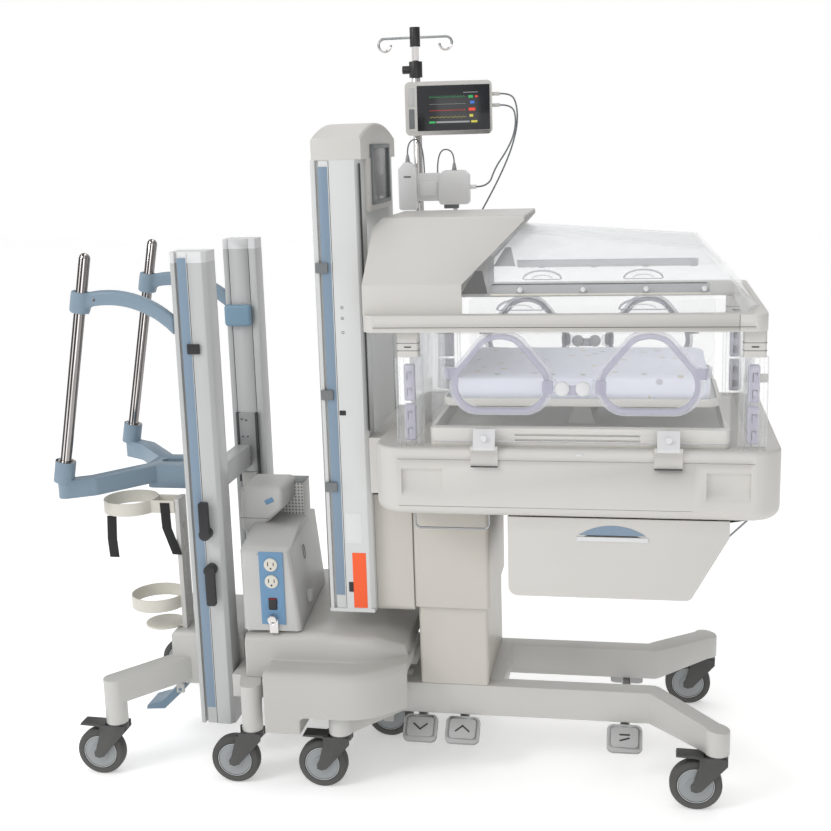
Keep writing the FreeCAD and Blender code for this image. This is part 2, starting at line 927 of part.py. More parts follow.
def display_housing():
    """Housing between the uprights with a domed cap over them, and the screen in its front."""
    inner = post_outer_y - post_depth
    body = block(display_back_x, display_front_x, -inner, inner, display_bottom, post_top + 1)
    cap_face = dome_outline(display_back_x - 4)
    cap = cap_face.extrude(V(display_front_x - display_back_x + 2, 0, 0))
    ends = (cap.BoundBox.XMin, cap.BoundBox.XMax)
    cap = rounded(cap, display_edge_r, lambda e: is_crown_edge(e, ends))
    housing = join([body, cap])
    cavity = block(
        display_back_x + wall, display_front_x - wall * 2, -inner + wall, inner - wall,
        display_bottom + wall, display_shoulder - wall,
    )
    mid = display_bottom + 24 + screen_h / 2
    bezel = block(
        display_front_x - 1.5, display_front_x + 1, -screen_w / 2, screen_w / 2,
        mid - screen_h / 2, mid + screen_h / 2,
    )
    housing = housing.cut(cavity).cut(bezel)
    screen = block(
        display_front_x - 1.5, display_front_x - 1.5 + screen_t, -screen_w / 2, screen_w / 2,
        mid - screen_h / 2, mid + screen_h / 2,
    )
    return [housing, screen]


def dome_outline(x):
    half = post_outer_y
    left = V(x, -half, display_shoulder)
    right = V(x, half, display_shoulder)
    crown = Part.Arc(left, V(x, 0, display_crown), right).toShape()
    base_left = V(x, -half, post_top)
    base_right = V(x, half, post_top)
    sides = [
        Part.LineSegment(right, base_right).toShape(),
        Part.LineSegment(base_right, base_left).toShape(),
        Part.LineSegment(base_left, left).toShape(),
    ]
    return Part.Face(Part.Wire([crown] + sides))


def is_crown_edge(edge, ends):
    on_end = any(abs(edge.BoundBox.XMin - x) < 0.01 and abs(edge.BoundBox.XMax - x) < 0.01 for x in ends)
    return on_end and edge.BoundBox.ZMin > display_shoulder - 1


# Fittings on the bed shell


def hinge_plate(x):
    """Fixed hinge leaf on the side of the bed shell with its two ears and the pin."""
    half = hinge_w / 2
    face = -bed_half_y
    top = hinge_z - hinge_r - seat_gap * 2
    plate = block(x - half, x + half, face - hinge_leaf_t, face, top - hinge_plate_h, top)
    pieces = [plate]
    for x0 in (x - half, x + half - hinge_ear_w):
        ear = Part.makeCylinder(hinge_r, hinge_ear_w, V(x0, -hinge_y, hinge_z), V(1, 0, 0))
        neck = block(x0, x0 + hinge_ear_w, -hinge_y - 3, -hinge_y + 3, top - 2, hinge_z)
        pieces += [ear, neck]
    pin = rod(V(x - half, -hinge_y, hinge_z), V(x + half, -hinge_y, hinge_z), hinge_pin_r)
    return join(pieces + [pin])


def hinge_leaf(x):
    """Moving hinge leaf on the outside of a door, with the knuckle that turns on the pin."""
    half = hinge_w / 2 - hinge_ear_w - seat_gap
    outline = [
        (-door_y, hinge_leaf_top),
        (-door_y - hinge_leaf_t, hinge_leaf_top),
        (-hinge_y - hinge_r + 1, hinge_z + 3),
        (-hinge_y + 4, hinge_z + 3),
        (-door_y, door_bottom),
    ]
    web = prism_x(outline, x - half, x + half)
    start = V(x - half, -hinge_y, hinge_z)
    knuckle = Part.makeCylinder(hinge_r, half * 2, start, V(1, 0, 0))
    bore = Part.makeCylinder(hinge_pin_r + shaft_gap, half * 2, start, V(1, 0, 0))
    return web.fuse(knuckle).cut(bore)


def wire_bail(points, radius):
    """Bent wire along straight runs with round bends."""
    return tube_route(points, radius, [bail_bend_r] * (len(points) - 2))


def bed_fittings():
    """Door hinge plates on both sides, and the wire bails under the shell."""
    solids = []
    for x in hinge_xs:
        solids += both_sides(hinge_plate(x))
    low = bed_bottom - bail_drop
    hook = [
        V(bail_x0, -bail_y, bed_bottom),
        V(bail_x0, -bail_y, low),
        V(bail_x1, -bail_y, low),
        V(bail_x1, -bail_y, bed_bottom),
    ]
    solids += both_sides(wire_bail(hook, bail_r))
    low = bed_bottom - foot_bail_drop
    hook = [
        V(foot_bail_top_x, foot_bail_y - foot_bail_half, bed_bottom),
        V(foot_bail_top_x, foot_bail_y - foot_bail_half, bed_bottom - bail_bend_r),
        V(foot_bail_low_x, foot_bail_y - foot_bail_half / 2, low),
        V(foot_bail_low_x, foot_bail_y + foot_bail_half / 2, low),
        V(foot_bail_top_x, foot_bail_y + foot_bail_half, bed_bottom - bail_bend_r),
        V(foot_bail_top_x, foot_bail_y + foot_bail_half, bed_bottom),
    ]
    solids.append(wire_bail(hook, bail_r))
    return solids


def end_walls():
    """Clear head and foot walls, four slotted corner posts with caps, and the foot-end knob."""
    solids = []
    half_t = clear_wall / 2
    for x in (head_wall_x, foot_wall_x):
        solids.append(block(x - half_t, x + half_t, -end_wall_half_y, end_wall_half_y, bed_top, box_top))
        x0 = x - corner_post_l / 2
        x1 = x + corner_post_l / 2
        y0 = -corner_post_outer_y
        y1 = y0 + corner_post_w
        post_top_z = box_top - corner_cap_h
        post = slab(x0, x1, y0, y1, bed_top, post_top_z, 5)
        for port_x in (x - corner_post_l / 4, x + corner_post_l / 4):
            port = Part.makeCylinder(corner_port_r, post_top_z - bed_top, V(port_x, y0 + 4, bed_top))
            post = post.cut(port)
        cap = slab(x0 + 6, x1 - 6, y0 + 3, y1 - 3, post_top_z, rim_bottom - seat_gap, 6)
        solids += both_sides(post) + both_sides(cap)
    start = V(foot_wall_x + half_t, 0, knob_z)
    solids.append(rod(start, start.add(V(knob_l, 0, 0)), knob_r))
    return solids


# Canopy


def canopy_section(half, bend, top_half, top, low, inset):
    """End view of the canopy: upright sides, then sloping sides up to a narrower flat top.

    The inset draws the same outline that much further in, measured square to each face.
    """
    slope = math.atan2(top - bend, half - top_half)
    bend_in = bend - inset * math.tan((math.pi / 2 - slope) / 2)
    top_half_in = top_half - inset * math.tan(slope / 2)
    right = [(half - inset, low), (half - inset, bend_in), (top_half_in, top - inset)]
    return right + [(-y, z) for y, z in reversed(right)]


def hood_form(inset):
    low = rim_top - (1 if inset == 0 else 2)
    front = 0 if inset == 0 else 1
    side = [
        (hood_x0 + inset, low),
        (hood_x0 + inset, hood_top - hood_head_chamfer - inset),
        (hood_x0 + hood_head_chamfer + inset, hood_top - inset),
        (hood_nose_x + front, hood_top - inset),
        (hood_nose_x + front, hood_top - hood_lip - front - inset),
        (hood_foot_x + front, hood_cut_z - inset),
        (hood_foot_x + front, low),
    ]
    section = canopy_section(hood_half_y, hood_cut_z, hood_top_half_y, hood_top, low, inset)
    body = prism_x(section, hood_x0, hood_nose_x + 2).common(prism_y(side, -hood_half_y, hood_half_y))
    top = hood_top - inset
    body = rounded(body, hood_edge_r - inset, lambda e: is_along(e, V(1, 0, 0)) and is_top_edge(e, top))
    return body.Solids[0]


def rim_ring():
    outer = slab(hood_x0, rim_foot_x, -bed_half_y, bed_half_y, rim_bottom, rim_top, rim_corner_r)
    inner = slab(
        hood_x0 + rim_w, rim_foot_x - rim_w, -bed_half_y + rim_w, bed_half_y - rim_w,
        rim_bottom - 1, rim_top + 1, 8,
    )
    return outer.cut(inner)


def canopy_hood():
    """White hood over the head end, the rim all round, and the two lugs that run on the uprights."""
    hood = hood_form(0).cut(hood_form(wall))
    pieces = [hood, rim_ring()]
    lug = block(post_x1 + seat_gap, hood_x0 + wall, -lug_y1, -lug_y0, rim_bottom + 6, rim_bottom + 6 + lug_h)
    return [join(pieces + both_sides(lug))]


def shell_form(inset):
    """Clear shell: the end section seen along X, cut to its side outline and its plan."""
    half = hood_half_y - wall - shell_side_gap
    low = rim_top - (1 if inset > 0 else 0)
    section = canopy_section(half, shell_side_z, shell_top_half_y, shell_head_z, low, inset)
    body = prism_x(section, hood_foot_x - shell_tuck_in * 2, rim_foot_x)
    back = 0 if inset == 0 else 1
    head = hood_foot_x - shell_tuck_in - back
    foot = rim_foot_x - shell_foot_gap - inset
    side = [
        (head, low),
        (head, shell_side_z + shell_tuck_in - inset),
        (shell_head_x - back, shell_head_z - inset),
        (shell_foot_x - inset, shell_foot_z - inset),
        (foot, low),
    ]
    body = body.common(prism_y(side, -half, half))
    plan = [
        (head - 1, -half), (foot - shell_corner_l, -half), (foot, -shell_corner_y), (foot, shell_corner_y),
        (foot - shell_corner_l, half), (head - 1, half),
    ]
    body = body.common(prism_z(plan, low, shell_head_z))
    slope_top = [e for e in body.Edges if is_shoulder(e)]
    return body.makeFillet(shell_round_r - inset, slope_top)


def is_shoulder(edge):
    """The two long edges between the sloping sides and the top."""
    box = edge.BoundBox
    return box.XLength > 300 and box.ZMin > shell_side_z + 20 and box.YLength < 80


def canopy_shell():
    return [shell_form(0).cut(shell_form(clear_wall)).Solids[0]]


# Side doors with their portholes


def port_outline(radius, y):
    """Rounded triangle of a porthole: three corners, each rounded by the radius."""
    half = port_half_w - port_r
    corners = [V(-half, y, -port_base_drop), V(half, y, -port_base_drop), V(0, y, port_base_drop)]
    wire = Part.makePolygon(corners + corners[:1])
    return wire.makeOffset2D(radius, 0, False, False)


def port_disc(x, radius, y0, y1):
    face = Part.Face(port_outline(radius, y0))
    disc = face.extrude(V(0, y1 - y0, 0))
    disc.translate(V(x, 0, port_z))
    return disc


def port_hinge(index):
    """Side of the porthole with its hinge, and the place of the upright pin."""
    side = -1 if index == 0 else 1
    return side, port_xs[index] + side * (port_half_w + port_hinge_off)


def side_door():
    """Near door: a clear panel with two portholes, hinge leaves and porthole hinge ears."""
    panel = block(door_x0, door_x1, -door_y, -door_y + door_t, door_bottom, box_top)
    panel = rounded(panel, door_corner_r, lambda e: is_along(e, V(0, 1, 0)))
    for x in port_xs:
        panel = panel.cut(port_disc(x, port_r - port_ring_w, -door_y - 1, -door_y + door_t + 1))
    pieces = [panel]
    for index in range(len(port_xs)):
        side, pin_x = port_hinge(index)
        pin_y = -door_y - port_ring_t / 2 - seat_gap
        half = port_knuckle_h / 2 + seat_gap
        for z0 in (port_z - half - port_ear_h, port_z + half):
            pieces.append(block(pin_x - 5, pin_x + 5, pin_y - 4, -door_y + 1, z0, z0 + port_ear_h))
        pin_z0 = port_z - half - port_ear_h
        pieces.append(Part.makeCylinder(port_pin_r, (half + port_ear_h) * 2, V(pin_x, pin_y, pin_z0)))
    door = join(pieces)
    return [door] + [hinge_leaf(x) for x in hinge_xs]


def porthole(index):
    """Clear porthole pane in its ring, with the hinge knuckle and the latch block."""
    x = port_xs[index]
    side, pin_x = port_hinge(index)
    back = -door_y - seat_gap
    ring = port_disc(x, port_r, back - port_ring_t, back)
    ring = ring.cut(port_disc(x, port_r - port_ring_w, back - port_ring_t - 1, back + 1))
    pin_y = back - port_ring_t / 2
    pane = port_disc(x, port_r - port_ring_w, pin_y - port_pane_t / 2, pin_y + port_pane_t / 2)
    z0 = port_z - port_knuckle_h / 2
    knuckle = Part.makeCylinder(port_knuckle_r, port_knuckle_h, V(pin_x, pin_y, z0))
    arm_x0, arm_x1 = sorted((pin_x, x + side * (port_half_w - port_ring_w / 2 - 14)))
    arm = block(arm_x0, arm_x1, pin_y - 2.5, pin_y + 2.5, z0, z0 + port_knuckle_h)
    arm = arm.cut(port_disc(x, port_r - port_ring_w, back - 30, back + 1))
    bore = Part.makeCylinder(port_pin_r + shaft_gap, port_knuckle_h, V(pin_x, pin_y, z0))
    frame = ring.fuse(knuckle).fuse(arm).cut(bore).removeSplitter()
    latch_x = x - side * (port_half_w - port_ring_w / 2 + 2)
    latch_z = port_z - port_base_drop
    latch = block(
        latch_x - latch_w / 2, latch_x + latch_w / 2, back - port_ring_t - latch_t, back - port_ring_t,
        latch_z - latch_h / 2, latch_z + latch_h / 2,
    )
    latch = rounded(latch, 6, lambda e: is_along(e, V(0, 1, 0)))
    return [frame.Solids[0], pane, latch]


# Drawer


def drawer_outline(inset):
    top = bed_bottom - drawer_top_gap
    slope = (drawer_top_x1 - drawer_bottom_x1) / (top - drawer_bottom)
    shift = inset * math.hypot(1, slope)
    low = drawer_bottom + inset
    low_x1 = drawer_bottom_x1 + slope * inset - shift
    return [
        (drawer_x0 + inset, low),
        (low_x1, low),
        (drawer_top_x1 - shift, top),
        (drawer_x0 + inset, top),
    ]


def drawer_body(inset, y0, y1):
    body = prism_y(drawer_outline(inset), y0, y1)
    low = drawer_bottom + inset
    edges = [e for e in body.Edges if is_along(e, V(0, 1, 0)) and is_low_edge(e, low)]
    return body.makeFillet(drawer_corner_r - inset, edges)


def drawer():
    """Open drawer with a sloping foot end, flanges that hang on the runners, and its grip insert."""
    body = drawer_body(0, drawer_front_y, drawer_back_y)
    top = bed_bottom - drawer_top_gap
    hollow = drawer_body(drawer_wall, drawer_front_y + drawer_wall, drawer_back_y - drawer_wall)
    body = body.cut(hollow)
    back = block(
        drawer_x0 + drawer_wall, drawer_top_x1, drawer_back_y - drawer_wall - 1, drawer_back_y + 1,
        top - drawer_back_drop, top + 1,
    )
    body = body.cut(back)
    flange_y0 = drawer_front_y + drawer_wall
    left = block(
        drawer_x0, drawer_x0 + drawer_wall + drawer_flange, flange_y0, drawer_back_y, top - drawer_flange_t, top,
    )
    shift = drawer_outline(drawer_wall)[2][0]
    right = block(
        shift - drawer_flange, drawer_top_x1 - 4, flange_y0, drawer_back_y, top - drawer_flange_t, top,
    )
    body = join([body, left, right])
    arch = grip_arch(drawer_front_y - 1, drawer_front_y + handle_depth)
    pocket = grip_arch(drawer_front_y, drawer_front_y + handle_depth + drawer_wall)
    body = body.cut(grip_arch(drawer_front_y - 1, drawer_front_y + drawer_wall + 1))
    grip = pocket.cut(shrunk_arch(arch))
    return [body, grip]


def grip_arch(y0, y1):
    """Lens-shaped grip: a flat lower edge under a shallow arch."""
    z0 = bed_bottom - handle_top_drop - handle_rise
    left = V(handle_x - handle_w / 2, y0, z0)
    right = V(handle_x + handle_w / 2, y0, z0)
    arch = Part.Arc(left, V(handle_x, y0, z0 + handle_rise), right).toShape()
    base = Part.LineSegment(right, left).toShape()
    return Part.Face(Part.Wire([arch, base])).extrude(V(0, y1 - y0, 0))


def shrunk_arch(arch):
    """The hollow of the grip: the same arch scaled about its middle."""
    centre = arch.BoundBox.Center
    matrix = FreeCAD.Matrix()
    matrix.move(centre.negative())
    matrix.scale(0.94, 1.0, 0.86)
    matrix.move(centre)
    return arch.transformGeometry(matrix)


def drawer_runners():
    """Two rails under the bed shell, each a web with a foot that the drawer flange rests on."""
    top = bed_bottom - drawer_top_gap
    foot_top = top - drawer_flange_t - seat_gap
    web_gap = drawer_wall + drawer_flange + runner_side_gap
    left_web = drawer_x0 + web_gap
    right_web = drawer_outline(drawer_wall)[2][0] - drawer_flange - runner_side_gap
    runners = []
    for web_x, sign in ((left_web, -1), (right_web, 1)):
        x0, x1 = sorted((web_x, web_x - sign * runner_t))
        web = block(x0, x1, runner_y0, drawer_back_y, foot_top - runner_foot_t, bed_bottom)
        f0, f1 = sorted((web_x - sign * runner_t, web_x + sign * (runner_side_gap + runner_overlap)))
        foot = block(f0, f1, runner_y0, drawer_back_y, foot_top - runner_foot_t, foot_top)
        runners.append(join([web, foot]))
    return runners


# Bent wire and leads


def tube_route(points, radius, radii):
    """A round tube along straight runs joined by tangent arcs of the given radii."""
    edges = []
    start = points[0]
    for index in range(1, len(points) - 1):
        before = points[index - 1].sub(points[index]).normalize()
        after = points[index + 1].sub(points[index]).normalize()
        half_turn = (math.pi - before.getAngle(after)) / 2
        back = radii[index - 1] * math.tan(half_turn)
        enter = points[index].add(before * back)
        leave = points[index].add(after * back)
        bisector = (before + after).normalize()
        middle = points[index].add(bisector * (radii[index - 1] / math.cos(half_turn) - radii[index - 1]))
        edges.append(Part.LineSegment(start, enter).toShape())
        edges.append(Part.Arc(enter, middle, leave).toShape())
        start = leave
    edges.append(Part.LineSegment(start, points[-1]).toShape())
    path = Part.Wire(edges)
    along = points[1].sub(points[0])
    profile = Part.Wire(Part.makeCircle(radius, points[0], along))
    pipe = path.makePipeShell([profile], True, True)
    return pipe if pipe.ShapeType == "Solid" else pipe.Solids[0]


def route_radii(points):
    """Largest even radius at each point: 0.45 of the shorter run over the tangent of half the turn."""
    radii = []
    for index in range(1, len(points) - 1):
        before = points[index - 1].sub(points[index])
        after = points[index + 1].sub(points[index])
        half_turn = (math.pi - before.getAngle(after)) / 2
        radii.append(0.45 * min(before.Length, after.Length) / math.tan(half_turn))
    return radii


def lead(name, points, radius):
    """One cord along its route; prints its radii and compares its volume with its length."""
    radii = route_radii(points)
    tube = tube_route(points, radius, radii)
    turns = []
    for index in range(1, len(points) - 1):
        before = points[index].sub(points[index - 1])
        after = points[index + 1].sub(points[index])
        turns.append(before.getAngle(after))
    runs = [points[i + 1].sub(points[i]).Length for i in range(len(points) - 1)]
    length = sum(runs) - sum(r * (2 * math.tan(t / 2) - t) for r, t in zip(radii, turns))
    ratio = tube.Volume / (math.pi * radius ** 2 * length)
    print(name, "length", round(length, 1), "radii", [round(r, 1) for r in radii], "volume ratio", round(ratio, 4))
    return [tube]


# Pole, monitor and modules


def pole_bracket(z):
    """Bent arm from the far upright out and round to the pole."""
    z1 = z + bracket_h
    half = bracket_arm_w / 2
    outline = [
        (bracket_x - half, post_outer_y),
        (bracket_x + half, post_outer_y),
        (bracket_x + half, pole_y - half),
        (pole_x + half, pole_y - half),
        (pole_x + half, pole_y + half),
        (bracket_x - half, pole_y + half),
    ]
    return prism_z(outline, z, z1)


def pole_lower():
    """Fixed tube of the pole in its two brackets, and the locking collar on top."""
    pieces = [pole_bracket(z) for z in bracket_zs]
    pieces.append(Part.makeCylinder(pole_r, pole_top - pole_bottom, V(pole_x, pole_y, pole_bottom)))
    body = join(pieces)
    collar = Part.makeCylinder(collar_r, collar_h, V(pole_x, pole_y, pole_top))
    knob = Part.makeCylinder(collar_r * 0.6, collar_r * 2, V(pole_x, pole_y, pole_top + collar_h / 2), V(-1, 0, 0))
    collar = collar.fuse(knob)
    bore_z = rod_bottom - 10
    bore = Part.makeCylinder(rod_r + shaft_gap, pole_top + collar_h - bore_z, V(pole_x, pole_y, bore_z))
    return [body.cut(bore), collar.cut(bore)]


def hook_wire(side):
    """One curled hook: out from the head, then three quarters of a turn down and back."""
    z = head_bottom + hook_drop
    turn_x = pole_x + side * hook_reach
    start = V(pole_x, pole_y, z)
    turn = V(turn_x, pole_y, z)
    low = V(turn_x, pole_y, z - 2 * hook_curl_r)
    outer = V(turn_x + side * hook_curl_r, pole_y, z - hook_curl_r)
    inner = V(turn_x - side * hook_curl_r, pole_y, z - hook_curl_r)
    diagonal = hook_curl_r * math.sqrt(0.5)
    corner = V(turn_x - side * diagonal, pole_y, z - hook_curl_r - diagonal)
    path = Part.Wire([
        Part.LineSegment(start, turn).toShape(),
        Part.Arc(turn, outer, low).toShape(),
        Part.Arc(low, corner, inner).toShape(),
    ])
    profile = Part.Wire(Part.makeCircle(hook_r, start, V(side, 0, 0)))
    return path.makePipeShell([profile], True, True).Solids[0]


def pole_upper():
    """Sliding rod with its head and the two curled hooks."""
    rod_body = Part.makeCylinder(rod_r, head_bottom + 1 - rod_bottom, V(pole_x, pole_y, rod_bottom))
    head = Part.makeCylinder(head_r, head_h, V(pole_x, pole_y, head_bottom))
    hooks = [hook_wire(side) for side in (-1, 1)]
    return [join([rod_body, head] + hooks)]


def place_monitor(piece):
    """Turn a piece modelled on the monitor's own axes and move it to its place by the pole."""
    piece.rotate(V(0, 0, 0), V(0, 0, 1), monitor_turn)
    piece.translate(V(monitor_cx, monitor_face_y(), monitor_bottom + monitor_h / 2))
    return piece


def monitor_face_y():
    """Middle plane of the case, so that its back clears the pole by the length of the clamp."""
    turn = math.radians(monitor_turn)
    run = pole_x - monitor_cx
    return pole_y + run * math.tan(turn) * -1 - (pole_r + monitor_back_gap + monitor_t / 2) / math.cos(turn)


def monitor():
    """Monitor case with its glass, the clamp to the pole and the two lead plugs."""
    half_w = monitor_w / 2
    half_h = monitor_h / 2
    half_t = monitor_t / 2
    case = block(-half_w, half_w, -half_t, half_t, -half_h, half_h)
    case = rounded(case, monitor_corner_r, lambda e: is_along(e, V(0, 1, 0)))
    glass = block(
        -half_w + glass_margin, half_w - glass_margin / 2, -half_t - glass_t, -half_t,
        -half_h + glass_margin, half_h - glass_margin,
    )
    case = place_monitor(case)
    glass = place_monitor(glass)
    z0 = monitor_bottom + (monitor_h - jaw_h) / 2
    jaw = Part.makeCylinder(jaw_r, jaw_h, V(pole_x, pole_y, z0))
    reach = block(pole_x - 16, pole_x + 16, pole_y - pole_r - monitor_back_gap - 14, pole_y, z0, z0 + jaw_h)
    clamp = jaw.fuse(reach).cut(Part.makeCylinder(pole_r, jaw_h, V(pole_x, pole_y, z0))).cut(case)
    clamp = max(clamp.Solids, key=lambda s: s.Volume)
    plugs = []
    for z in plug_zs:
        plug = Part.makeCylinder(plug_r, plug_l, V(half_w, 0, z), V(1, 0, 0))
        plugs.append(place_monitor(plug))
    return [case, glass, clamp] + plugs


plug_zs = [34.0, 4.0]


def plug_end(z):
    """Outer end of a lead plug, where its lead starts."""
    turn = math.radians(monitor_turn)
    reach = monitor_w / 2 + plug_l
    return V(
        monitor_cx + reach * math.cos(turn),
        monitor_face_y() + reach * math.sin(turn),
        monitor_bottom + monitor_h / 2 + z,
    )


def module_body(x0, x1, z0, z1, shoulder):
    """Rounded module housing with sloping shoulders and the strain relief of its lead on top."""
    mid = (x0 + x1) / 2
    back = pole_y - pole_r
    front = back - module_t
    outline = [
        (x0, z0),
        (x1, z0),
        (x1, z1 - shoulder),
        (x1 - shoulder, z1),
        (x0 + shoulder, z1),
        (x0, z1 - shoulder),
    ]
    body = prism_y(outline, front, back)
    body = rounded(body, module_corner_r, lambda e: is_along(e, V(0, 1, 0)))
    relief = Part.makeCone(relief_r, relief_r / 2, relief_l, V(mid, module_mid_y(), z1))
    return body.fuse(relief).Solids[0]


def module_mid_y():
    return pole_y - pole_r - module_t / 2


def sensor_plate_x():
    """Middle of the mounting plate, which reaches from the pole towards the foot end."""
    return pole_x + sensor_plate_w / 2


def left_module_x():
    return pole_x - left_module_w / 2


def right_module_x():
    return pole_x + sensor_plate_w + right_module_w / 2


def sensor_modules():
    """Mounting plate on the pole, a module at each side of it, and the right module's two lead glands."""
    half = sensor_plate_w / 2
    plate_x = sensor_plate_x()
    back = pole_y - pole_r
    plate = block(
        plate_x - half, plate_x + half, module_mid_y(), back, sensor_plate_z0, sensor_plate_z0 + sensor_plate_h,
    )
    slide = block(
        plate_x - half + 8, plate_x + half - 8, module_mid_y() - 6, module_mid_y(),
        sensor_plate_z0 + 14, sensor_plate_z0 + sensor_plate_h - 24,
    )
    plate = join([plate, slide])
    x = left_module_x()
    left = module_body(
        x - left_module_w / 2, x + left_module_w / 2, left_module_z0, left_module_z0 + left_module_h,
        module_shoulder,
    )
    x = right_module_x()
    right = module_body(
        x - right_module_w / 2, x + right_module_w / 2, right_module_z0, right_module_z0 + right_module_h,
        module_corner_r * 1.5,
    )
    side = Part.makeCylinder(gland_r, gland_l, side_gland(0), V(1, 0, 0))
    under = Part.makeCylinder(gland_r, gland_l, low_gland(0), V(0, 0, -1))
    return [plate, left, right, side, under]


def side_gland(out):
    """Point on the axis of the gland on the right module's side, so far out of the housing."""
    x = right_module_x() + right_module_w / 2 + out
    return V(x, module_mid_y(), right_module_z0 + right_module_h * 0.5)


def low_gland(out):
    """Point on the axis of the gland under the right module, so far out of the housing."""
    return V(right_module_x(), pole_y - pole_r - gland_r - 1, right_module_z0 - out)


def relief_top(x, z1):
    return V(x, module_mid_y(), z1 + relief_l)


# Transport shuttle


def shuttle_chassis():
    """Middle box, legs to the four casters, the yoke under the cover and the arm of the centre wheel."""
    box = block(box_x0, box_x1, -box_half_y, box_half_y, box_bottom, box_bottom + box_h)
    box = rounded(box, box_edge_r, lambda e: is_top_edge(e, box_bottom + box_h))
    cheek = block(mast_x0 + 8, mast_x1 - 8, -mast_outer_y + mast_depth, 0, box_bottom, box_bottom + box_h - box_edge_r)
    yoke = block(box_x1 - 2, yoke_x1, -yoke_half_y, yoke_half_y, yoke_bottom, yoke_bottom + yoke_h)
    pieces = [box, yoke] + both_sides(cheek)
    root_top = box_bottom + 12 + leg_root_h
    rear_foot = V(shuttle_rear_stem_x, -shuttle_spread, leg_bottom)
    rear_root = V(leg_root_x, -leg_root_y, leg_bottom)
    rear = straight_leg(rear_root, rear_foot, shuttle_leg_r, box_bottom + 12, root_top)
    rear_post = Part.makeCylinder(shuttle_leg_r, root_top - leg_bottom, rear_foot)
    front_foot = V(shuttle_front_stem_x, -shuttle_spread, leg_bottom)
    front_root = V(yoke_x1 - 50, -yoke_half_y + 30, leg_bottom)
    front = straight_leg(front_root, front_foot, shuttle_leg_r - 2, yoke_bottom, yoke_bottom + yoke_h)
    front_post = Part.makeCylinder(shuttle_leg_r - 2, yoke_bottom + yoke_h - leg_bottom, front_foot)
    side = rear.fuse(rear_post).fuse(front).fuse(front_post)
    for x in (shuttle_rear_stem_x, shuttle_front_stem_x):
        side = side.cut(
            Part.makeCylinder(swivel_stem_r + shaft_gap, swivel_stem_h + 1, V(x, -shuttle_spread, leg_bottom))
        )
    pieces += both_sides(side)
    arm_top = fifth_arm_bottom + fifth_arm_h
    fork_in = fifth_w / 2 + fifth_fork_gap
    fork_out = fork_in + fifth_fork_t
    arm = block(box_x1 - 2, fifth_x + 26, -fork_out, fork_out, fifth_arm_bottom, arm_top)
    post = block(box_x1 - 2, yoke_x1 - 20, -fork_out, fork_out, fifth_arm_bottom, yoke_bottom + 2)
    fork = prism_y([
        (fifth_x - 13, wheel_r - 13),
        (fifth_x + 13, wheel_r - 13),
        (fifth_x + 26, fifth_arm_bottom + 2),
        (fifth_x - 26, fifth_arm_bottom + 2),
    ], fork_in, fork_out)
    tongue = block(fifth_x + 24, -core_plate_half - seat_gap, -tongue_half, tongue_half, arm_top - tongue_h, arm_top)
    axle = rod(V(fifth_x, -fork_in - 1, wheel_r), V(fifth_x, fork_in + 1, wheel_r), axle_r)
    pieces += [arm, post, tongue, axle] + both_sides(fork)
    frame = join(pieces + dock_ears())
    frame = frame.cut(dock_slot())
    return [frame, tank_plate()]


def dock_slot():
    """Notch under the middle box for the dock pedal and its pin."""
    low = box_bottom
    notch = block(box_x0 - 1, dock_pin_x + 16, dock_y0 + 4, dock_y1 - 4, low - 1, low + 12)
    return notch


def tank_plate():
    """Perforated plate that stands on the middle box and carries the tank rings."""
    half = bracket_plate_w / 2
    z0 = box_bottom + box_h
    plate = block(
        bracket_plate_x, bracket_plate_x + bracket_plate_t, bracket_plate_y - half, bracket_plate_y + half,
        z0, bracket_plate_top + 24,
    )
    count = int((bracket_plate_top - z0) / bracket_hole_pitch)
    for index in range(count):
        z = z0 + bracket_hole_pitch * (index + 0.5)
        hole = Part.makeCylinder(bracket_hole_r, 30, V(bracket_plate_x - 5, bracket_plate_y, z), V(1, 0, 0))
        plate = plate.cut(hole)
    return plate


def cover_upper(inset):
    outline = [
        (cover_x0 + inset, yoke_bottom + yoke_h - (1 if inset else 0)),
        (cover_x0 + inset, cover_top - inset),
        (-330, cover_crown - inset),
        (-190, cover_crown - 10 - inset),
        (cover_x1 - 14 - inset, cover_crown - 48),
        (cover_x1 - inset, skirt_top - 30),
        (cover_x1 - inset, yoke_bottom + yoke_h - (1 if inset else 0)),
    ]
    half = cover_half_y - inset
    body = prism_y(outline, -half, half)
    sides = [e for e in body.Edges if is_side_top(e, half)]
    return body.makeFillet(cover_edge_r - inset, sides)


def is_side_top(edge, half):
    box = edge.BoundBox
    return abs(abs(box.YMin) - half) < 0.01 and box.YLength < 0.01 and box.ZMin > skirt_top + 20


def cover_skirt(inset):
    low = skirt_bottom - (1 if inset else 0)
    body = block(
        skirt_x0 + inset, cover_x1 - inset, -skirt_half_y + inset, skirt_half_y - inset, low, skirt_top - inset,
    )
    high = skirt_top - inset
    body = rounded(body, cover_edge_r - inset, lambda e: is_top_edge(e, high) and is_along(e, V(1, 0, 0)))
    foot_low = skirt_foot_bottom - (1 if inset else 0)
    foot = block(
        skirt_x0 + inset, skirt_foot_x1 - inset, -skirt_half_y + inset,
        -skirt_half_y + skirt_foot_depth - inset, foot_low, skirt_bottom + 30,
    )
    return body.multiFuse(both_sides(foot))


def shuttle_cover():
    """Moulded cover, open below and towards the incubator, that straddles the head-end legs."""
    outer = cover_upper(0).fuse(cover_skirt(0))
    inner = cover_upper(wall).fuse(cover_skirt(wall))
    half = skirt_half_y - wall
    mouth = block(cover_x1 - 20, cover_x1 + 1, -half, half, skirt_bottom - 1, skirt_top - cover_edge_r)
    low = block(cover_x0 + wall, cover_x1 - wall, -cover_half_y + wall, cover_half_y - wall, skirt_bottom - 1, skirt_top)
    return [outer.cut(inner).cut(mouth).cut(low).Solids[0]]


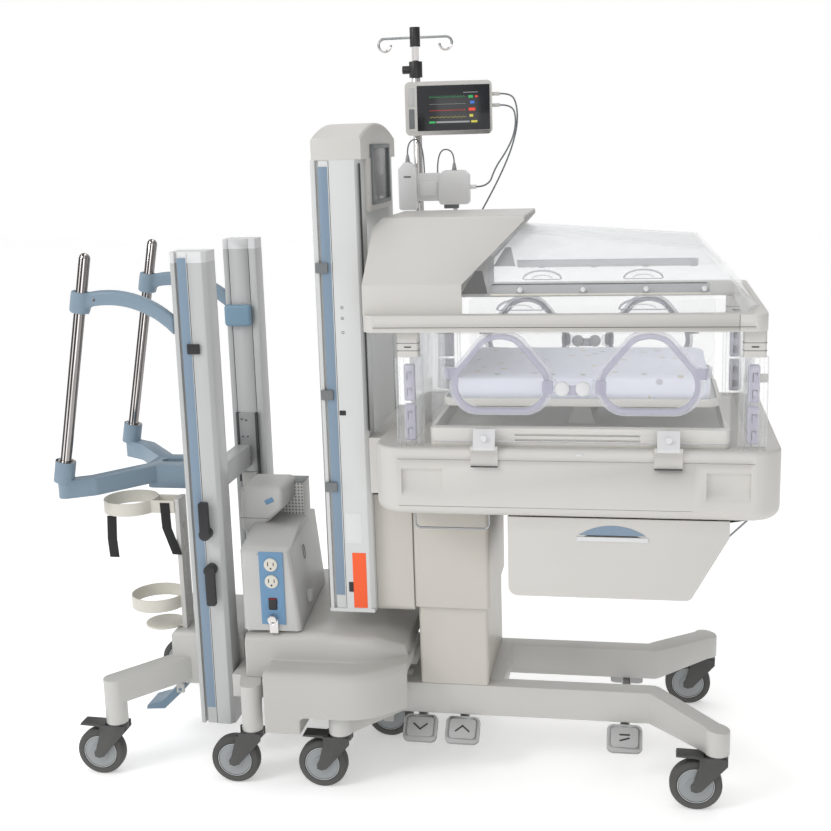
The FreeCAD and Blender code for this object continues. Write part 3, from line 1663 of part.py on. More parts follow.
def shuttle_uprights():
    """Two tall uprights with their strips, and the tie bar that carries the handle hub."""
    solids = upright_pair(mast_x0, mast_x1, mast_outer_y, mast_depth, mast_bottom, mast_top, 0)
    for place in (upper_lever, lower_lever):
        start = V(place[0], -mast_outer_y, place[1])
        bore = Part.makeCylinder(lever_pin_r + shaft_gap, lever_pin_l + 1, start, V(0, 1, 0))
        solids[0] = solids[0].cut(bore).Solids[0]
    inner = mast_outer_y - mast_depth
    tie = block(mast_x0 + 8, mast_x0 + 8 + tie_bar_t, -inner, inner, tie_bar_z, tie_bar_z + tie_bar_h)
    solids.append(tie)
    solids += both_sides(edge_clip(mast_x0 + clip_w + 18, 1107.0, mast_outer_y))
    return solids


def battery_box():
    """Power unit: slanted housing, outlet panel with two sockets, and the frame of the switch."""
    outline = [
        (battery_x0, cover_crown),
        (battery_x1, cover_crown),
        (battery_nose_x, battery_nose_z),
        (battery_top_x + 18, battery_top - 44),
        (battery_top_x - 20, battery_top),
        (battery_x0, battery_top),
    ]
    body = prism_y(outline, battery_near_y, battery_far_y)
    near = battery_near_y
    body = rounded(body, battery_edge_r, lambda e: is_near_edge(e, near) and e.BoundBox.ZMax > cover_crown + 1)
    foot = block(battery_x0 + 4, battery_x1, battery_near_y + 20, battery_far_y, cover_top, cover_crown + 1)
    foot = foot.cut(cover_upper(0))
    cavity = prism_y([
        (battery_x0 + wall, cover_crown + wall),
        (battery_x1 - 12, cover_crown + wall),
        (battery_x1 - 12, battery_top - 60),
        (battery_x0 + wall, battery_top - wall),
    ], battery_near_y + 16, battery_far_y - wall)
    half = outlet_w / 2
    face = battery_near_y
    pocket = block(
        outlet_x - switch_w / 2 - 1, outlet_x + switch_w / 2 + 1, face - outlet_t - 1, face + switch_t,
        switch_z - switch_h / 2 - 1, switch_z + switch_h / 2 + 1,
    )
    pin = switch_pin()
    seat = pin_hole(pin)
    body = join([body, foot]).cut(cavity).cut(pocket).cut(seat)
    panel = block(outlet_x - half, outlet_x + half, face - outlet_t, face, outlet_z0, outlet_z0 + outlet_h)
    panel = panel.cut(pocket)
    solids = [body, panel]
    for z in socket_zs:
        socket = Part.makeCylinder(socket_r, 4, V(outlet_x, face - outlet_t - 4, z), V(0, 1, 0))
        solids.append(socket)
    return solids


def is_near_edge(edge, y):
    box = edge.BoundBox
    return abs(box.YMin - y) < 0.01 and abs(box.YMax - y) < 0.01


def switch_pin():
    half = switch_w / 2 + 4
    y = battery_near_y + 3
    return V(outlet_x - half, y, switch_z), V(outlet_x + half, y, switch_z)


def pin_hole(pin):
    return rod(pin[0], pin[1], switch_pin_r + shaft_gap)


def power_switch():
    """Rocker on its pin in the outlet panel."""
    face = battery_near_y - outlet_t
    half_w = switch_w / 2
    half_h = switch_h / 2 - 1
    outline = [
        (face - 1, switch_z - half_h),
        (face + 4, switch_z - half_h),
        (face + switch_t - 1, switch_z),
        (face + 4, switch_z + half_h),
        (face - 4, switch_z + half_h),
    ]
    rocker = prism_x(outline, outlet_x - half_w, outlet_x + half_w)
    pin = switch_pin()
    return [join([rocker, rod(pin[0], pin[1], switch_pin_r)])]


def clamp_on_bar(z, y):
    """Round clamp on a handle bar, along the bar's slope."""
    axis = V(handle_slope, 0, 1).normalize()
    centre = V(bar_x(z), y, z)
    return Part.makeCylinder(clamp_r, clamp_h, centre.sub(axis * (clamp_h / 2)), axis)


def handle_bar(y):
    low = V(bar_bottom_x, y, bar_bottom_z)
    high = V(bar_top_x, y, bar_top_z)
    return rod(low, high, bar_r)


def upper_arm():
    """Arched arm from a bar clamp down to the near upright."""
    y = -bar_y
    start = V(bar_x(upper_clamp_z), y, upper_clamp_z)
    end = V(mast_x0, y, arm_end_z)
    run = end.x - start.x
    crest = V(start.x + run * 0.45, y, start.z + 8)
    half = arm_h / 2
    over = Part.Arc(start.add(V(0, 0, half)), crest.add(V(0, 0, half)), end.add(V(0, 0, half + 6))).toShape()
    under = Part.Arc(end.sub(V(0, 0, half + 6)), crest.sub(V(0, 0, half)), start.sub(V(0, 0, half))).toShape()
    right = Part.LineSegment(end.add(V(0, 0, half + 6)), end.sub(V(0, 0, half + 6))).toShape()
    left = Part.LineSegment(start.sub(V(0, 0, half)), start.add(V(0, 0, half))).toShape()
    arm = Part.Face(Part.Wire([over, right, under, left])).extrude(V(0, arm_t, 0))
    arm.translate(V(0, -arm_t / 2, 0))
    return arm.fuse(clamp_on_bar(upper_clamp_z, y)).cut(handle_bar(y)).Solids[0]


def lower_fork():
    """Y-shaped casting: two arms from the bar clamps to a slotted hub on the tie bar."""
    z0 = tie_bar_z + 8
    z1 = z0 + fork_arm_h
    start_x = bar_x(lower_clamp_z)
    arm = band([(start_x, -bar_y), (start_x + 60, -bar_y + 36), (hub_x0 + 20, -hub_half_y + 18)], fork_arm_w / 2, z0, z1)
    lift = clamp_on_bar(lower_clamp_z, -bar_y)
    hub = slab(hub_x0, mast_x0 - 40, -hub_half_y, hub_half_y, z0 - 16, z1, 20)
    neck = block(mast_x0 - 60, mast_x0 + 8, -26, 26, z0 - 6, z1 - 10)
    casting = join([hub, neck] + both_sides(arm) + both_sides(lift))
    slot = slab(
        hub_x0 + 26, hub_x0 + 26 + hub_slot_l, -hub_slot_w / 2, hub_slot_w / 2, z0 - 17, z1 + 1, hub_slot_w / 2 - 1,
    )
    casting = casting.cut(slot)
    for y in (-bar_y, bar_y):
        casting = casting.cut(handle_bar(y))
    return casting.Solids[0]


def push_handle():
    """Two leaning bars held by arched upper arms and the lower casting."""
    solids = both_sides(upper_arm())
    solids.append(lower_fork())
    for y in (-bar_y, bar_y):
        solids.append(handle_bar(y))
    return solids


def tank_ring(x, z, radius, y):
    outer = Part.makeCylinder(radius, ring_h, V(x, y, z))
    return outer.cut(Part.makeCylinder(radius - ring_t, ring_h, V(x, y, z)))


def tank_holders():
    """Two tank rings and a saucer on the perforated plate, and the two straps of the upper ring."""
    y = bracket_plate_y
    upper = tank_ring(upper_ring_x, upper_ring_z, upper_ring_r, y)
    for side in (-1, 1):
        edge_y = y + side * ring_arm_half
        y0, y1 = sorted((edge_y, edge_y - side * ring_t))
        reach = math.sqrt(upper_ring_r ** 2 - ring_arm_half ** 2)
        arm = block(upper_ring_x + reach - 3, bracket_plate_x, y0, y1, upper_ring_z, upper_ring_z + ring_h)
        upper = upper.fuse(arm)
    gap = Part.makeCylinder(upper_ring_r - ring_t, ring_h, V(upper_ring_x, y, upper_ring_z))
    upper = upper.cut(gap).removeSplitter().Solids[0]
    lower_r = bracket_plate_x - lower_ring_x
    lower = tank_ring(lower_ring_x, lower_ring_z, lower_r, y)
    foot = block(bracket_plate_x - 8, bracket_plate_x, y - 22, y + 22, lower_ring_z, lower_ring_z + ring_h)
    gap = Part.makeCylinder(lower_r - ring_t, ring_h, V(lower_ring_x, y, lower_ring_z))
    lower = lower.fuse(foot.cut(gap)).Solids[0]
    saucer_x = bracket_plate_x - saucer_r - 6
    saucer = Part.makeCylinder(saucer_r, saucer_t, V(saucer_x, y, saucer_z))
    tongue = block(saucer_x, bracket_plate_x, y - 20, y + 20, saucer_z, saucer_z + saucer_t)
    saucer = join([saucer, tongue])
    return [upper, lower, saucer] + tank_straps()


def tank_straps():
    """Two webbing straps that hang from the upper ring, one on its rim and one on its near arm."""
    rim_y = bracket_plate_y - math.sqrt((upper_ring_r - ring_t / 2) ** 2 - strap_off ** 2)
    x = upper_ring_x + strap_off
    z = upper_ring_z
    first = prism_x([
        (rim_y - strap_t / 2, z),
        (rim_y + strap_t / 2, z),
        (rim_y + strap_t / 2 - 8, z - 60),
        (rim_y + strap_t / 2 - 2, z - 112),
        (rim_y - strap_t / 2 - 2, z - 112),
        (rim_y - strap_t / 2 - 8, z - 60),
    ], x - strap_w / 2, x + strap_w / 2)
    x = bracket_plate_x - strap_w - 12
    top = z + ring_h - 6
    arm_y = bracket_plate_y - ring_arm_half
    second = prism_y([
        (x, top),
        (x + strap_w, top),
        (x + strap_w + 2, z - 40),
        (x + strap_w + 26, z - 112),
        (x + 26, z - 112),
        (x + 2, z - 40),
    ], arm_y - strap_t, arm_y)
    return [first, second]


def clamp_lever(place):
    """Cam lever on the outside of the near upright: a hub and a flat handle."""
    x, z, reach = place
    y0 = -mast_outer_y - lever_hub_l
    hub = Part.makeCylinder(lever_hub_r, lever_hub_l - seat_gap, V(x, y0, z), V(0, 1, 0))
    half = lever_bar_w / 2
    z0, z1 = sorted((z, z + reach))
    bar = block(x - half, x + half, y0, y0 + lever_bar_t, z0, z1)
    bar = rounded(bar, 5, lambda e: is_along(e, V(0, 1, 0)))
    pin = Part.makeCylinder(lever_pin_r, lever_hub_l + lever_pin_l, V(x, y0, z), V(0, 1, 0))
    return [join([hub, bar, pin])]


def dock_pedal():
    """Foot lever under the rear of the middle box, on a cross pin."""
    outline = [
        (dock_pin_x + 8, dock_pin_z + 6),
        (dock_pin_x - 8, dock_pin_z + 8),
        (dock_pin_x - 60, dock_pin_z - 44),
        (dock_pin_x - 104, dock_pin_z - 58),
        (dock_pin_x - 106, dock_pin_z - 58 - dock_t),
        (dock_pin_x - 54, dock_pin_z - 54 - dock_t),
        (dock_pin_x + 6, dock_pin_z - 7),
    ]
    lever = prism_y(outline, dock_y0 + 8, dock_y1 - 8)
    pin = rod(V(dock_pin_x, dock_y0 - 8, dock_pin_z), V(dock_pin_x, dock_y1 + 8, dock_pin_z), dock_pin_r)
    return [join([lever, pin])]


def dock_ears():
    """Ears under the middle box that hold the dock pedal's pin."""
    ears = []
    for y0 in (dock_y0 - 8, dock_y1):
        ear = block(dock_pin_x - 10, dock_pin_x + 10, y0, y0 + 8, dock_pin_z - 9, box_bottom + 1)
        hole = Part.makeCylinder(dock_pin_r + shaft_gap, 8, V(dock_pin_x, y0, dock_pin_z), V(0, 1, 0))
        ears.append(ear.cut(hole))
    return ears


def plug_axis():
    turn = math.radians(monitor_turn)
    return V(math.cos(turn), math.sin(turn), 0)


def upper_lead_points():
    """From the upper plug of the monitor, in a wide bow, to the gland under the right module."""
    start = plug_end(plug_zs[0])
    end = low_gland(gland_l)
    return [
        start,
        start.add(plug_axis() * 30),
        V(start.x + 45, start.y + 5, start.z - 28),
        V(start.x + 47, start.y + 6, start.z - 78),
        V(start.x + 34, start.y + 4, start.z - 134),
        V(start.x + 12, start.y - 4, start.z - 190),
        V(start.x - 16, start.y - 8, start.z - 246),
        V(start.x - 46, start.y - 13, start.z - 300),
        V(start.x - 82, start.y - 20, start.z - 362),
        V(end.x, end.y, start.z - 355),
        end,
    ]


def lower_lead_points():
    """From the lower plug of the monitor to the gland on the right module's side."""
    start = plug_end(plug_zs[1])
    end = side_gland(gland_l)
    return [
        start,
        start.add(plug_axis() * 34),
        V(start.x + 44, start.y - 2, start.z - 40),
        V(start.x + 36, start.y - 7, start.z - 86),
        V(start.x + 14, start.y - 13, start.z - 128),
        V(start.x - 14, start.y - 24, start.z - 168),
        V(end.x + 34, end.y, end.z),
        end,
    ]


def left_loop_points():
    """From the left module's strain relief over to the top of the mounting plate."""
    start = relief_top(left_module_x(), left_module_z0 + left_module_h)
    end = V(start.x + 44, start.y + 10, sensor_plate_z0 + sensor_plate_h)
    return [start, V(start.x, start.y, start.z + 40), V(end.x, end.y, start.z + 40), end]


def right_loop_points():
    """From the right module's strain relief back to the top of the mounting plate."""
    start = relief_top(right_module_x(), right_module_z0 + right_module_h)
    end = V(start.x - 48, start.y + 10, sensor_plate_z0 + sensor_plate_h)
    return [start, V(start.x, start.y, start.z + 36), V(end.x, end.y, start.z + 36), end]


def casters():
    spots = [
        ("foot_near", foot_stem_x, -leg_spread),
        ("foot_far", foot_stem_x, leg_spread),
        ("head_near", head_stem_x, -leg_spread),
        ("head_far", head_stem_x, leg_spread),
        ("shuttle_rear_near", shuttle_rear_stem_x, -shuttle_spread),
        ("shuttle_rear_far", shuttle_rear_stem_x, shuttle_spread),
        ("shuttle_front_near", shuttle_front_stem_x, -shuttle_spread),
        ("shuttle_front_far", shuttle_front_stem_x, shuttle_spread),
    ]
    braked = ("foot_near", "head_near", "shuttle_rear_near")
    for name, x, y in spots:
        save("caster_fork_" + name, caster_fork(x, y))
        save("caster_wheel_" + name, caster_wheel(x - caster_trail, y, tyre_w))
        if name in braked:
            save("brake_lever_" + name, brake_lever(x, y))


def build():
    casters()
    save("base_frame", base_frame())
    for name, x in zip(("pedal_down", "pedal_up", "pedal_tilt"), pedal_xs):
        save(name, pedal(x))
    save("column_lower", column_lower())
    save("column_upper", column_upper())
    save("bed_shell", bed_shell())
    save("bed_deck", bed_deck())
    save("mattress_tray", mattress_tray())
    save("mattress", mattress())
    save("bed_uprights", bed_uprights())
    save("display_housing", display_housing())
    save("bed_fittings", bed_fittings())
    save("end_walls", end_walls())
    save("canopy_hood", canopy_hood())
    save("canopy_shell", canopy_shell())
    door = side_door()
    save("side_door_near", door)
    save("side_door_far", [mirror_y(piece) for piece in door])
    for index, place in enumerate(("head", "foot")):
        pieces = porthole(index)
        save("porthole_near_" + place, pieces)
        save("porthole_far_" + place, [mirror_y(piece) for piece in pieces])
    save("drawer", drawer())
    save("pole_lower", pole_lower())
    save("pole_upper", pole_upper())
    save("monitor", monitor())
    save("sensor_modules", sensor_modules())
    save("monitor_lead_upper", lead("upper lead", upper_lead_points(), lead_r))
    save("monitor_lead_lower", lead("lower lead", lower_lead_points(), lead_r))
    loops = lead("left loop", left_loop_points(), loop_lead_r)
    loops += lead("right loop", right_loop_points(), loop_lead_r)
    save("sensor_leads", loops)
    save("shuttle_chassis", shuttle_chassis())
    save("shuttle_cover", shuttle_cover())
    save("shuttle_uprights", shuttle_uprights())
    save("battery_box", battery_box())
    save("power_switch", power_switch())
    save("push_handle", push_handle())
    save("tank_holders", tank_holders())
    save("clamp_lever_upper", clamp_lever(upper_lever))
    save("clamp_lever_lower", clamp_lever(lower_lever))
    save("dock_pedal", dock_pedal())
    save("centre_wheel", caster_wheel(fifth_x, 0, fifth_w))
    print("origin shift", origin_x, origin_y)


build()
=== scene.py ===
import json
import math

import bmesh
import bpy
from mathutils import Matrix, Quaternion, Vector

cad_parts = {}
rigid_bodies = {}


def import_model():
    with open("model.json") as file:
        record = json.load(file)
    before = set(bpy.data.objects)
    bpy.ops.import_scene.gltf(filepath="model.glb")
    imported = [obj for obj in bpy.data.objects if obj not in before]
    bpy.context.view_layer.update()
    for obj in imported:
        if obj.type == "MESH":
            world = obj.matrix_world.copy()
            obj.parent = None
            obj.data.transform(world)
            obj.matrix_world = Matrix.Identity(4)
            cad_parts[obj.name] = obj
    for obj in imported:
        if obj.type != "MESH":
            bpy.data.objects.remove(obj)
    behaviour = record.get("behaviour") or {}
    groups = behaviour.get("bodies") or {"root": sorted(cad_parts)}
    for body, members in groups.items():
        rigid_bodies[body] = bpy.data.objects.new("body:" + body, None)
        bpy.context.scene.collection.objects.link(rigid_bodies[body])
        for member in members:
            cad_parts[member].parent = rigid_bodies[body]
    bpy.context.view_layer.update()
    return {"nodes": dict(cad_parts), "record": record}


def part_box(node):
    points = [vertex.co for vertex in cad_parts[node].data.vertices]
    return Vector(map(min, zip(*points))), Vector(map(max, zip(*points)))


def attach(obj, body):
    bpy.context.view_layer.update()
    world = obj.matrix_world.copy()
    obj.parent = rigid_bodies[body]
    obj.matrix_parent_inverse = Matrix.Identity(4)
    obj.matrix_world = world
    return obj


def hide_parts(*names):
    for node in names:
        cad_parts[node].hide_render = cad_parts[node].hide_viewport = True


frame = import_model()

bpy.ops.object.select_all(action="DESELECT")

# The floor, the studio light and the camera.
# The camera stands at eye height 3.1 m in front of the near side, turned a little towards the
# head end and tipped down, with a long lens, as the photograph was taken.
bpy.ops.mesh.primitive_plane_add(size=40)
floor = bpy.context.active_object
floor.name = "studio_floor"
paper = bpy.data.materials.new("pale_floor")
paper.use_nodes = True
coat = paper.node_tree.nodes["Principled BSDF"].inputs
coat["Base Color"].default_value = (0.96, 0.96, 0.96, 1)
coat["Roughness"].default_value = 0.9
coat["Emission Color"].default_value = (1.0, 1.0, 1.0, 1)
coat["Emission Strength"].default_value = 0.33
floor.data.materials.append(paper)
world = bpy.data.worlds.new("studio")
world.use_nodes = True
sky = world.node_tree.nodes
towards = sky.new("ShaderNodeTexCoord")
parts_of = sky.new("ShaderNodeSeparateXYZ")
across = sky.new("ShaderNodeMapRange")
across.inputs["From Min"].default_value = -1.0
softbox = sky.new("ShaderNodeValToRGB")
shades = (
    (0.0, 0.92), (0.20, 1.0), (0.23, 0.10), (0.31, 0.10),
    (0.34, 1.0), (0.60, 0.85), (0.78, 0.40), (1.0, 0.50),
)
while len(softbox.color_ramp.elements) < len(shades):
    softbox.color_ramp.elements.new(0.5)
for stop, (at, bright) in zip(softbox.color_ramp.elements, shades):
    stop.position = at
    stop.color = (bright, bright, bright, 1)
seen = sky.new("ShaderNodeLightPath")
backdrop = sky.new("ShaderNodeMix")
backdrop.inputs[3].default_value = 1.0
link = world.node_tree.links.new
link(towards.outputs["Generated"], parts_of.inputs[0])
link(parts_of.outputs["X"], across.inputs["Value"])
link(across.outputs["Result"], softbox.inputs["Fac"])
link(seen.outputs["Is Camera Ray"], backdrop.inputs[0])
link(softbox.outputs["Color"], backdrop.inputs[2])
link(backdrop.outputs[0], sky["Background"].inputs["Strength"])
sky["Background"].inputs["Color"].default_value = (1.0, 1.0, 1.0, 1)
bpy.context.scene.world = world
bpy.context.scene.view_settings.view_transform = "Standard"
for name, place, size, power in (
    ("key", (-3.0, -3.0, 3.4), 1.6, 62),
    ("fill", (1.2, -4.0, 1.6), 2.2, 16),
    ("top", (0.2, 0.6, 4.2), 3.0, 22),
):
    lamp = bpy.data.lights.new(name, "AREA")
    lamp.size = size
    lamp.energy = power
    holder = bpy.data.objects.new(name, lamp)
    holder.location = place
    aim = Vector((0.0, 0.0, 0.9)) - Vector(place)
    holder.rotation_euler = aim.to_track_quat("-Z", "Y").to_euler()
    bpy.context.collection.objects.link(holder)
camera_yaw, camera_pitch, camera_roll = 0.1827, 0.2128, -0.0299
lens = bpy.data.cameras.new("photo_view")
lens.lens = 54.44
lens.sensor_width = 36
camera = bpy.data.objects.new("photo_view", lens)
turn = Matrix.Rotation(camera_yaw, 4, "Z") @ Matrix.Rotation(math.pi / 2 - camera_pitch, 4, "X")
stand = Matrix.Translation((0.5868, -3.1403, 1.5804))
camera.matrix_world = stand @ turn @ Matrix.Rotation(camera_roll, 4, "Z")
bpy.context.collection.objects.link(camera)
bpy.context.scene.camera = camera

# The leads of the monitor and of the two sensor modules: grey, round, limp cords.
# Each runs from a moulded plug or strain relief to its socket or gland, as the object holds it.
lead_grey = bpy.data.materials.new("lead_jacket")
lead_grey.use_nodes = True
lead_grey.node_tree.nodes["Principled BSDF"].inputs["Base Color"].default_value = (0.16, 0.17, 0.18, 1)
lead_grey.node_tree.nodes["Principled BSDF"].inputs["Roughness"].default_value = 0.5
upper_lead = [
    (0.1985, 0.365, 1.707), (0.228, 0.3702, 1.707), (0.2435, 0.37, 1.679), (0.2455, 0.371, 1.629),
    (0.2325, 0.369, 1.573), (0.2105, 0.361, 1.517), (0.1825, 0.357, 1.461), (0.1525, 0.352, 1.407),
    (0.1165, 0.345, 1.345), (0.0746, 0.3347, 1.352), (0.0746, 0.3347, 1.397),
]
lower_lead = [
    (0.1985, 0.365, 1.677), (0.2319, 0.3709, 1.677), (0.2425, 0.363, 1.637), (0.2345, 0.358, 1.591),
    (0.2125, 0.352, 1.549), (0.1845, 0.341, 1.509), (0.1686, 0.3267, 1.461), (0.1346, 0.3267, 1.461),
]
left_loop = [
    (-0.0544, 0.3267, 1.552), (-0.0544, 0.3267, 1.592), (-0.0104, 0.3367, 1.592), (-0.0104, 0.3367, 1.501),
]
right_loop = [
    (0.0746, 0.3267, 1.527), (0.0746, 0.3267, 1.563), (0.0266, 0.3367, 1.563), (0.0266, 0.3367, 1.501),
]
for name, node, route, thickness, length in (
    ("lead_upper", "monitor_lead_upper", upper_lead, 0.0046, 0.50),
    ("lead_lower", "monitor_lead_lower", lower_lead, 0.0046, 0.30),
    ("loop_left", "sensor_leads", left_loop, 0.0040, 0.16),
    ("loop_right", "sensor_leads", right_loop, 0.0040, 0.13),
):
    curve = bpy.data.curves.new(name, "CURVE")
    curve.dimensions = "3D"
    spline = curve.splines.new("NURBS")
    spline.points.add(len(route) - 1)
    for point, place in zip(spline.points, route):
        point.co = (*place, 1)
    spline.order_u = 3
    spline.use_endpoint_u = True
    spline.resolution_u = 12
    curve.bevel_depth = thickness / 2
    curve.bevel_resolution = 5
    curve.materials.append(lead_grey)
    cord = bpy.data.objects.new(name, curve)
    bpy.context.collection.objects.link(cord)
    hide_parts(node)
    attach(cord, "bed")

# Finishes that many pieces share: moulded or painted surfaces with a fine grain, a slight change
# of shade from place to place, and dust that settles low down and in the wheels' reach.
grain = bpy.data.node_groups.new("moulded_surface", "ShaderNodeTree")
for socket, kind, value in (
    ("Tint", "NodeSocketColor", (0.8, 0.8, 0.8, 1)), ("Shade", "NodeSocketColor", (0.7, 0.7, 0.7, 1)),
    ("Patch Scale", "NodeSocketFloat", 5.0), ("Grain Scale", "NodeSocketFloat", 900.0),
    ("Smooth", "NodeSocketFloat", 0.35), ("Rough", "NodeSocketFloat", 0.5), ("Dust", "NodeSocketFloat", 0.0),
):
    grain.interface.new_socket(socket, in_out="INPUT", socket_type=kind).default_value = value
grain.interface.new_socket("Color", in_out="OUTPUT", socket_type="NodeSocketColor")
grain.interface.new_socket("Roughness", in_out="OUTPUT", socket_type="NodeSocketFloat")
grain.interface.new_socket("Height", in_out="OUTPUT", socket_type="NodeSocketFloat")
given = grain.nodes.new("NodeGroupInput")
made = grain.nodes.new("NodeGroupOutput")
place = grain.nodes.new("ShaderNodeTexCoord")
patches = grain.nodes.new("ShaderNodeTexNoise")
patches.inputs["Detail"].default_value = 4
fine = grain.nodes.new("ShaderNodeTexNoise")
fine.inputs["Detail"].default_value = 2
shade = grain.nodes.new("ShaderNodeMix")
shade.data_type = "RGBA"
rough = grain.nodes.new("ShaderNodeMapRange")
split = grain.nodes.new("ShaderNodeSeparateXYZ")
low = grain.nodes.new("ShaderNodeMapRange")
low.inputs["From Min"].default_value = 0.32
low.inputs["From Max"].default_value = 0.0
settled = grain.nodes.new("ShaderNodeMath")
settled.operation = "MULTIPLY"
dusty = grain.nodes.new("ShaderNodeMath")
dusty.operation = "MULTIPLY"
dust = grain.nodes.new("ShaderNodeMix")
dust.data_type = "RGBA"
dust.inputs[7].default_value = (0.36, 0.34, 0.31, 1)
link = grain.links.new
link(place.outputs["Object"], patches.inputs["Vector"])
link(place.outputs["Object"], fine.inputs["Vector"])
link(given.outputs["Patch Scale"], patches.inputs["Scale"])
link(given.outputs["Grain Scale"], fine.inputs["Scale"])
link(patches.outputs["Fac"], shade.inputs[0])
link(given.outputs["Tint"], shade.inputs[6])
link(given.outputs["Shade"], shade.inputs[7])
link(patches.outputs["Fac"], rough.inputs["Value"])
link(given.outputs["Smooth"], rough.inputs["To Min"])
link(given.outputs["Rough"], rough.inputs["To Max"])
link(place.outputs["Object"], split.inputs[0])
link(split.outputs["Z"], low.inputs["Value"])
link(low.outputs["Result"], settled.inputs[0])
link(patches.outputs["Fac"], settled.inputs[1])
link(settled.outputs[0], dusty.inputs[0])
link(given.outputs["Dust"], dusty.inputs[1])
link(dusty.outputs[0], dust.inputs[0])
link(shade.outputs[2], dust.inputs[6])
link(dust.outputs[2], made.inputs["Color"])
link(rough.outputs["Result"], made.inputs["Roughness"])
link(fine.outputs["Fac"], made.inputs["Height"])


def surface(name, tint, smooth=0.32, rough=0.48, grain_scale=900.0, depth=0.00006, metal=0.0, dust=0.0):
    """A moulded or painted surface in one tint, a little darker in patches."""
    patch_shade = 0.94
    material = bpy.data.materials.new(name)
    material.use_nodes = True
    nodes = material.node_tree.nodes
    shader = nodes["Principled BSDF"]
    group = nodes.new("ShaderNodeGroup")
    group.node_tree = grain
    group.inputs["Tint"].default_value = (*tint, 1)
    group.inputs["Shade"].default_value = (*[c * patch_shade for c in tint], 1)
    group.inputs["Grain Scale"].default_value = grain_scale
    group.inputs["Smooth"].default_value = smooth
    group.inputs["Rough"].default_value = rough
    group.inputs["Dust"].default_value = dust
    bump = nodes.new("ShaderNodeBump")
    bump.inputs["Distance"].default_value = depth
    bump.inputs["Strength"].default_value = 0.6
    link = material.node_tree.links.new
    link(group.outputs["Color"], shader.inputs["Base Color"])
    link(group.outputs["Roughness"], shader.inputs["Roughness"])
    link(group.outputs["Height"], bump.inputs["Height"])
    link(bump.outputs["Normal"], shader.inputs["Normal"])
    shader.inputs["Metallic"].default_value = metal
    return material


warm_white = surface("warm_white_plastic", (0.575, 0.562, 0.535))
cream = surface("column_enamel", (0.545, 0.52, 0.475))
rail_grey = surface("rail_enamel", (0.54, 0.535, 0.515), dust=0.2)
post_white = surface("post_lacquer", (0.60, 0.61, 0.605), smooth=0.28, rough=0.4)
mast_white = surface("mast_lacquer", (0.47, 0.48, 0.478), smooth=0.28, rough=0.4)
strip_blue = surface("strip_blue", (0.195, 0.272, 0.36), smooth=0.35, rough=0.45)
clip_grey = surface("clip_grey", (0.16, 0.17, 0.175))
tray_grey = surface("tray_plastic", (0.64, 0.625, 0.585))
chrome = surface("chrome", (0.66, 0.64, 0.63), smooth=0.06, rough=0.12, depth=0.00001, metal=1.0)
wire_steel = surface("wire_steel", (0.36, 0.37, 0.38), smooth=0.2, rough=0.32, metal=1.0)
fork_grey = surface("fork_grey", (0.030, 0.031, 0.032), dust=0.25)
tyre_grey = surface("tyre_rubber", (0.032, 0.033, 0.034), smooth=0.55, rough=0.75, dust=0.3)
hub_grey = surface("hub_grey", (0.28, 0.30, 0.31), dust=0.2)
pedal_grey = surface("pedal_grey", (0.23, 0.235, 0.235), dust=0.3)
pad_grey = surface("pad_grey", (0.46, 0.47, 0.47), dust=0.3)
handle_blue = surface("handle_blue", (0.20, 0.275, 0.345))
cover_white = surface("cover_plastic", (0.49, 0.485, 0.462), dust=0.2)
unit_white = surface("unit_white", (0.50, 0.50, 0.49))
module_white = surface("module_white", (0.80, 0.80, 0.80))
black = surface("black_plastic", (0.014, 0.014, 0.016), smooth=0.3, rough=0.5)
ring_white = surface("ring_plastic", (0.62, 0.60, 0.535))
webbing = surface(
    "black_webbing", (0.012, 0.012, 0.013), smooth=0.7, rough=0.9, grain_scale=2500.0, depth=0.0003,
)
pedal_blue = surface("pedal_blue", (0.17, 0.25, 0.33))
panel_blue = surface("panel_blue", (0.13, 0.26, 0.42))
display_black = surface("display_black", (0.012, 0.013, 0.016), smooth=0.08, rough=0.16, depth=0.00001)


def clear_sheet(name, tint, flat, edge):
    """Clear acrylic: see-through face on, and denser where the eye meets it at a slant."""
    material = bpy.data.materials.new(name)
    material.use_nodes = True
    nodes = material.node_tree.nodes
    shader = nodes["Principled BSDF"]
    shader.inputs["Base Color"].default_value = (*tint, 1)
    shader.inputs["Roughness"].default_value = 0.04
    facing = nodes.new("ShaderNodeLayerWeight")
    facing.inputs["Blend"].default_value = 0.25
    span = nodes.new("ShaderNodeMapRange")
    span.inputs["To Min"].default_value = flat
    span.inputs["To Max"].default_value = edge
    rays = nodes.new("ShaderNodeLightPath")
    passing = nodes.new("ShaderNodeMath")
    passing.operation = "MAXIMUM"
    kept = nodes.new("ShaderNodeMath")
    kept.operation = "MULTIPLY_ADD"
    kept.inputs[1].default_value = -0.8
    kept.inputs[2].default_value = 1.0
    cover = nodes.new("ShaderNodeMath")
    cover.operation = "MULTIPLY"
    link = material.node_tree.links.new
    link(facing.outputs["Facing"], span.inputs["Value"])
    link(rays.outputs["Is Shadow Ray"], passing.inputs[0])
    link(rays.outputs["Is Diffuse Ray"], passing.inputs[1])
    link(passing.outputs[0], kept.inputs[0])
    link(span.outputs["Result"], cover.inputs[0])
    link(kept.outputs[0], cover.inputs[1])
    link(cover.outputs[0], shader.inputs["Alpha"])
    return material


acrylic = clear_sheet("clear_acrylic", (0.80, 0.82, 0.84), 0.07, 0.70)
frosted = clear_sheet("frosted_rim", (0.42, 0.41, 0.50), 0.62, 0.95)

# The rounded edges of the moulded, cast and extruded pieces.
# Every such piece takes its shape from the solids and gets the small edge radius that its mould,
# die or paint leaves, wider on plastic than on metal.
shown = {}
body_of = {n: body for body, members in frame["record"]["behaviour"]["bodies"].items() for n in members}


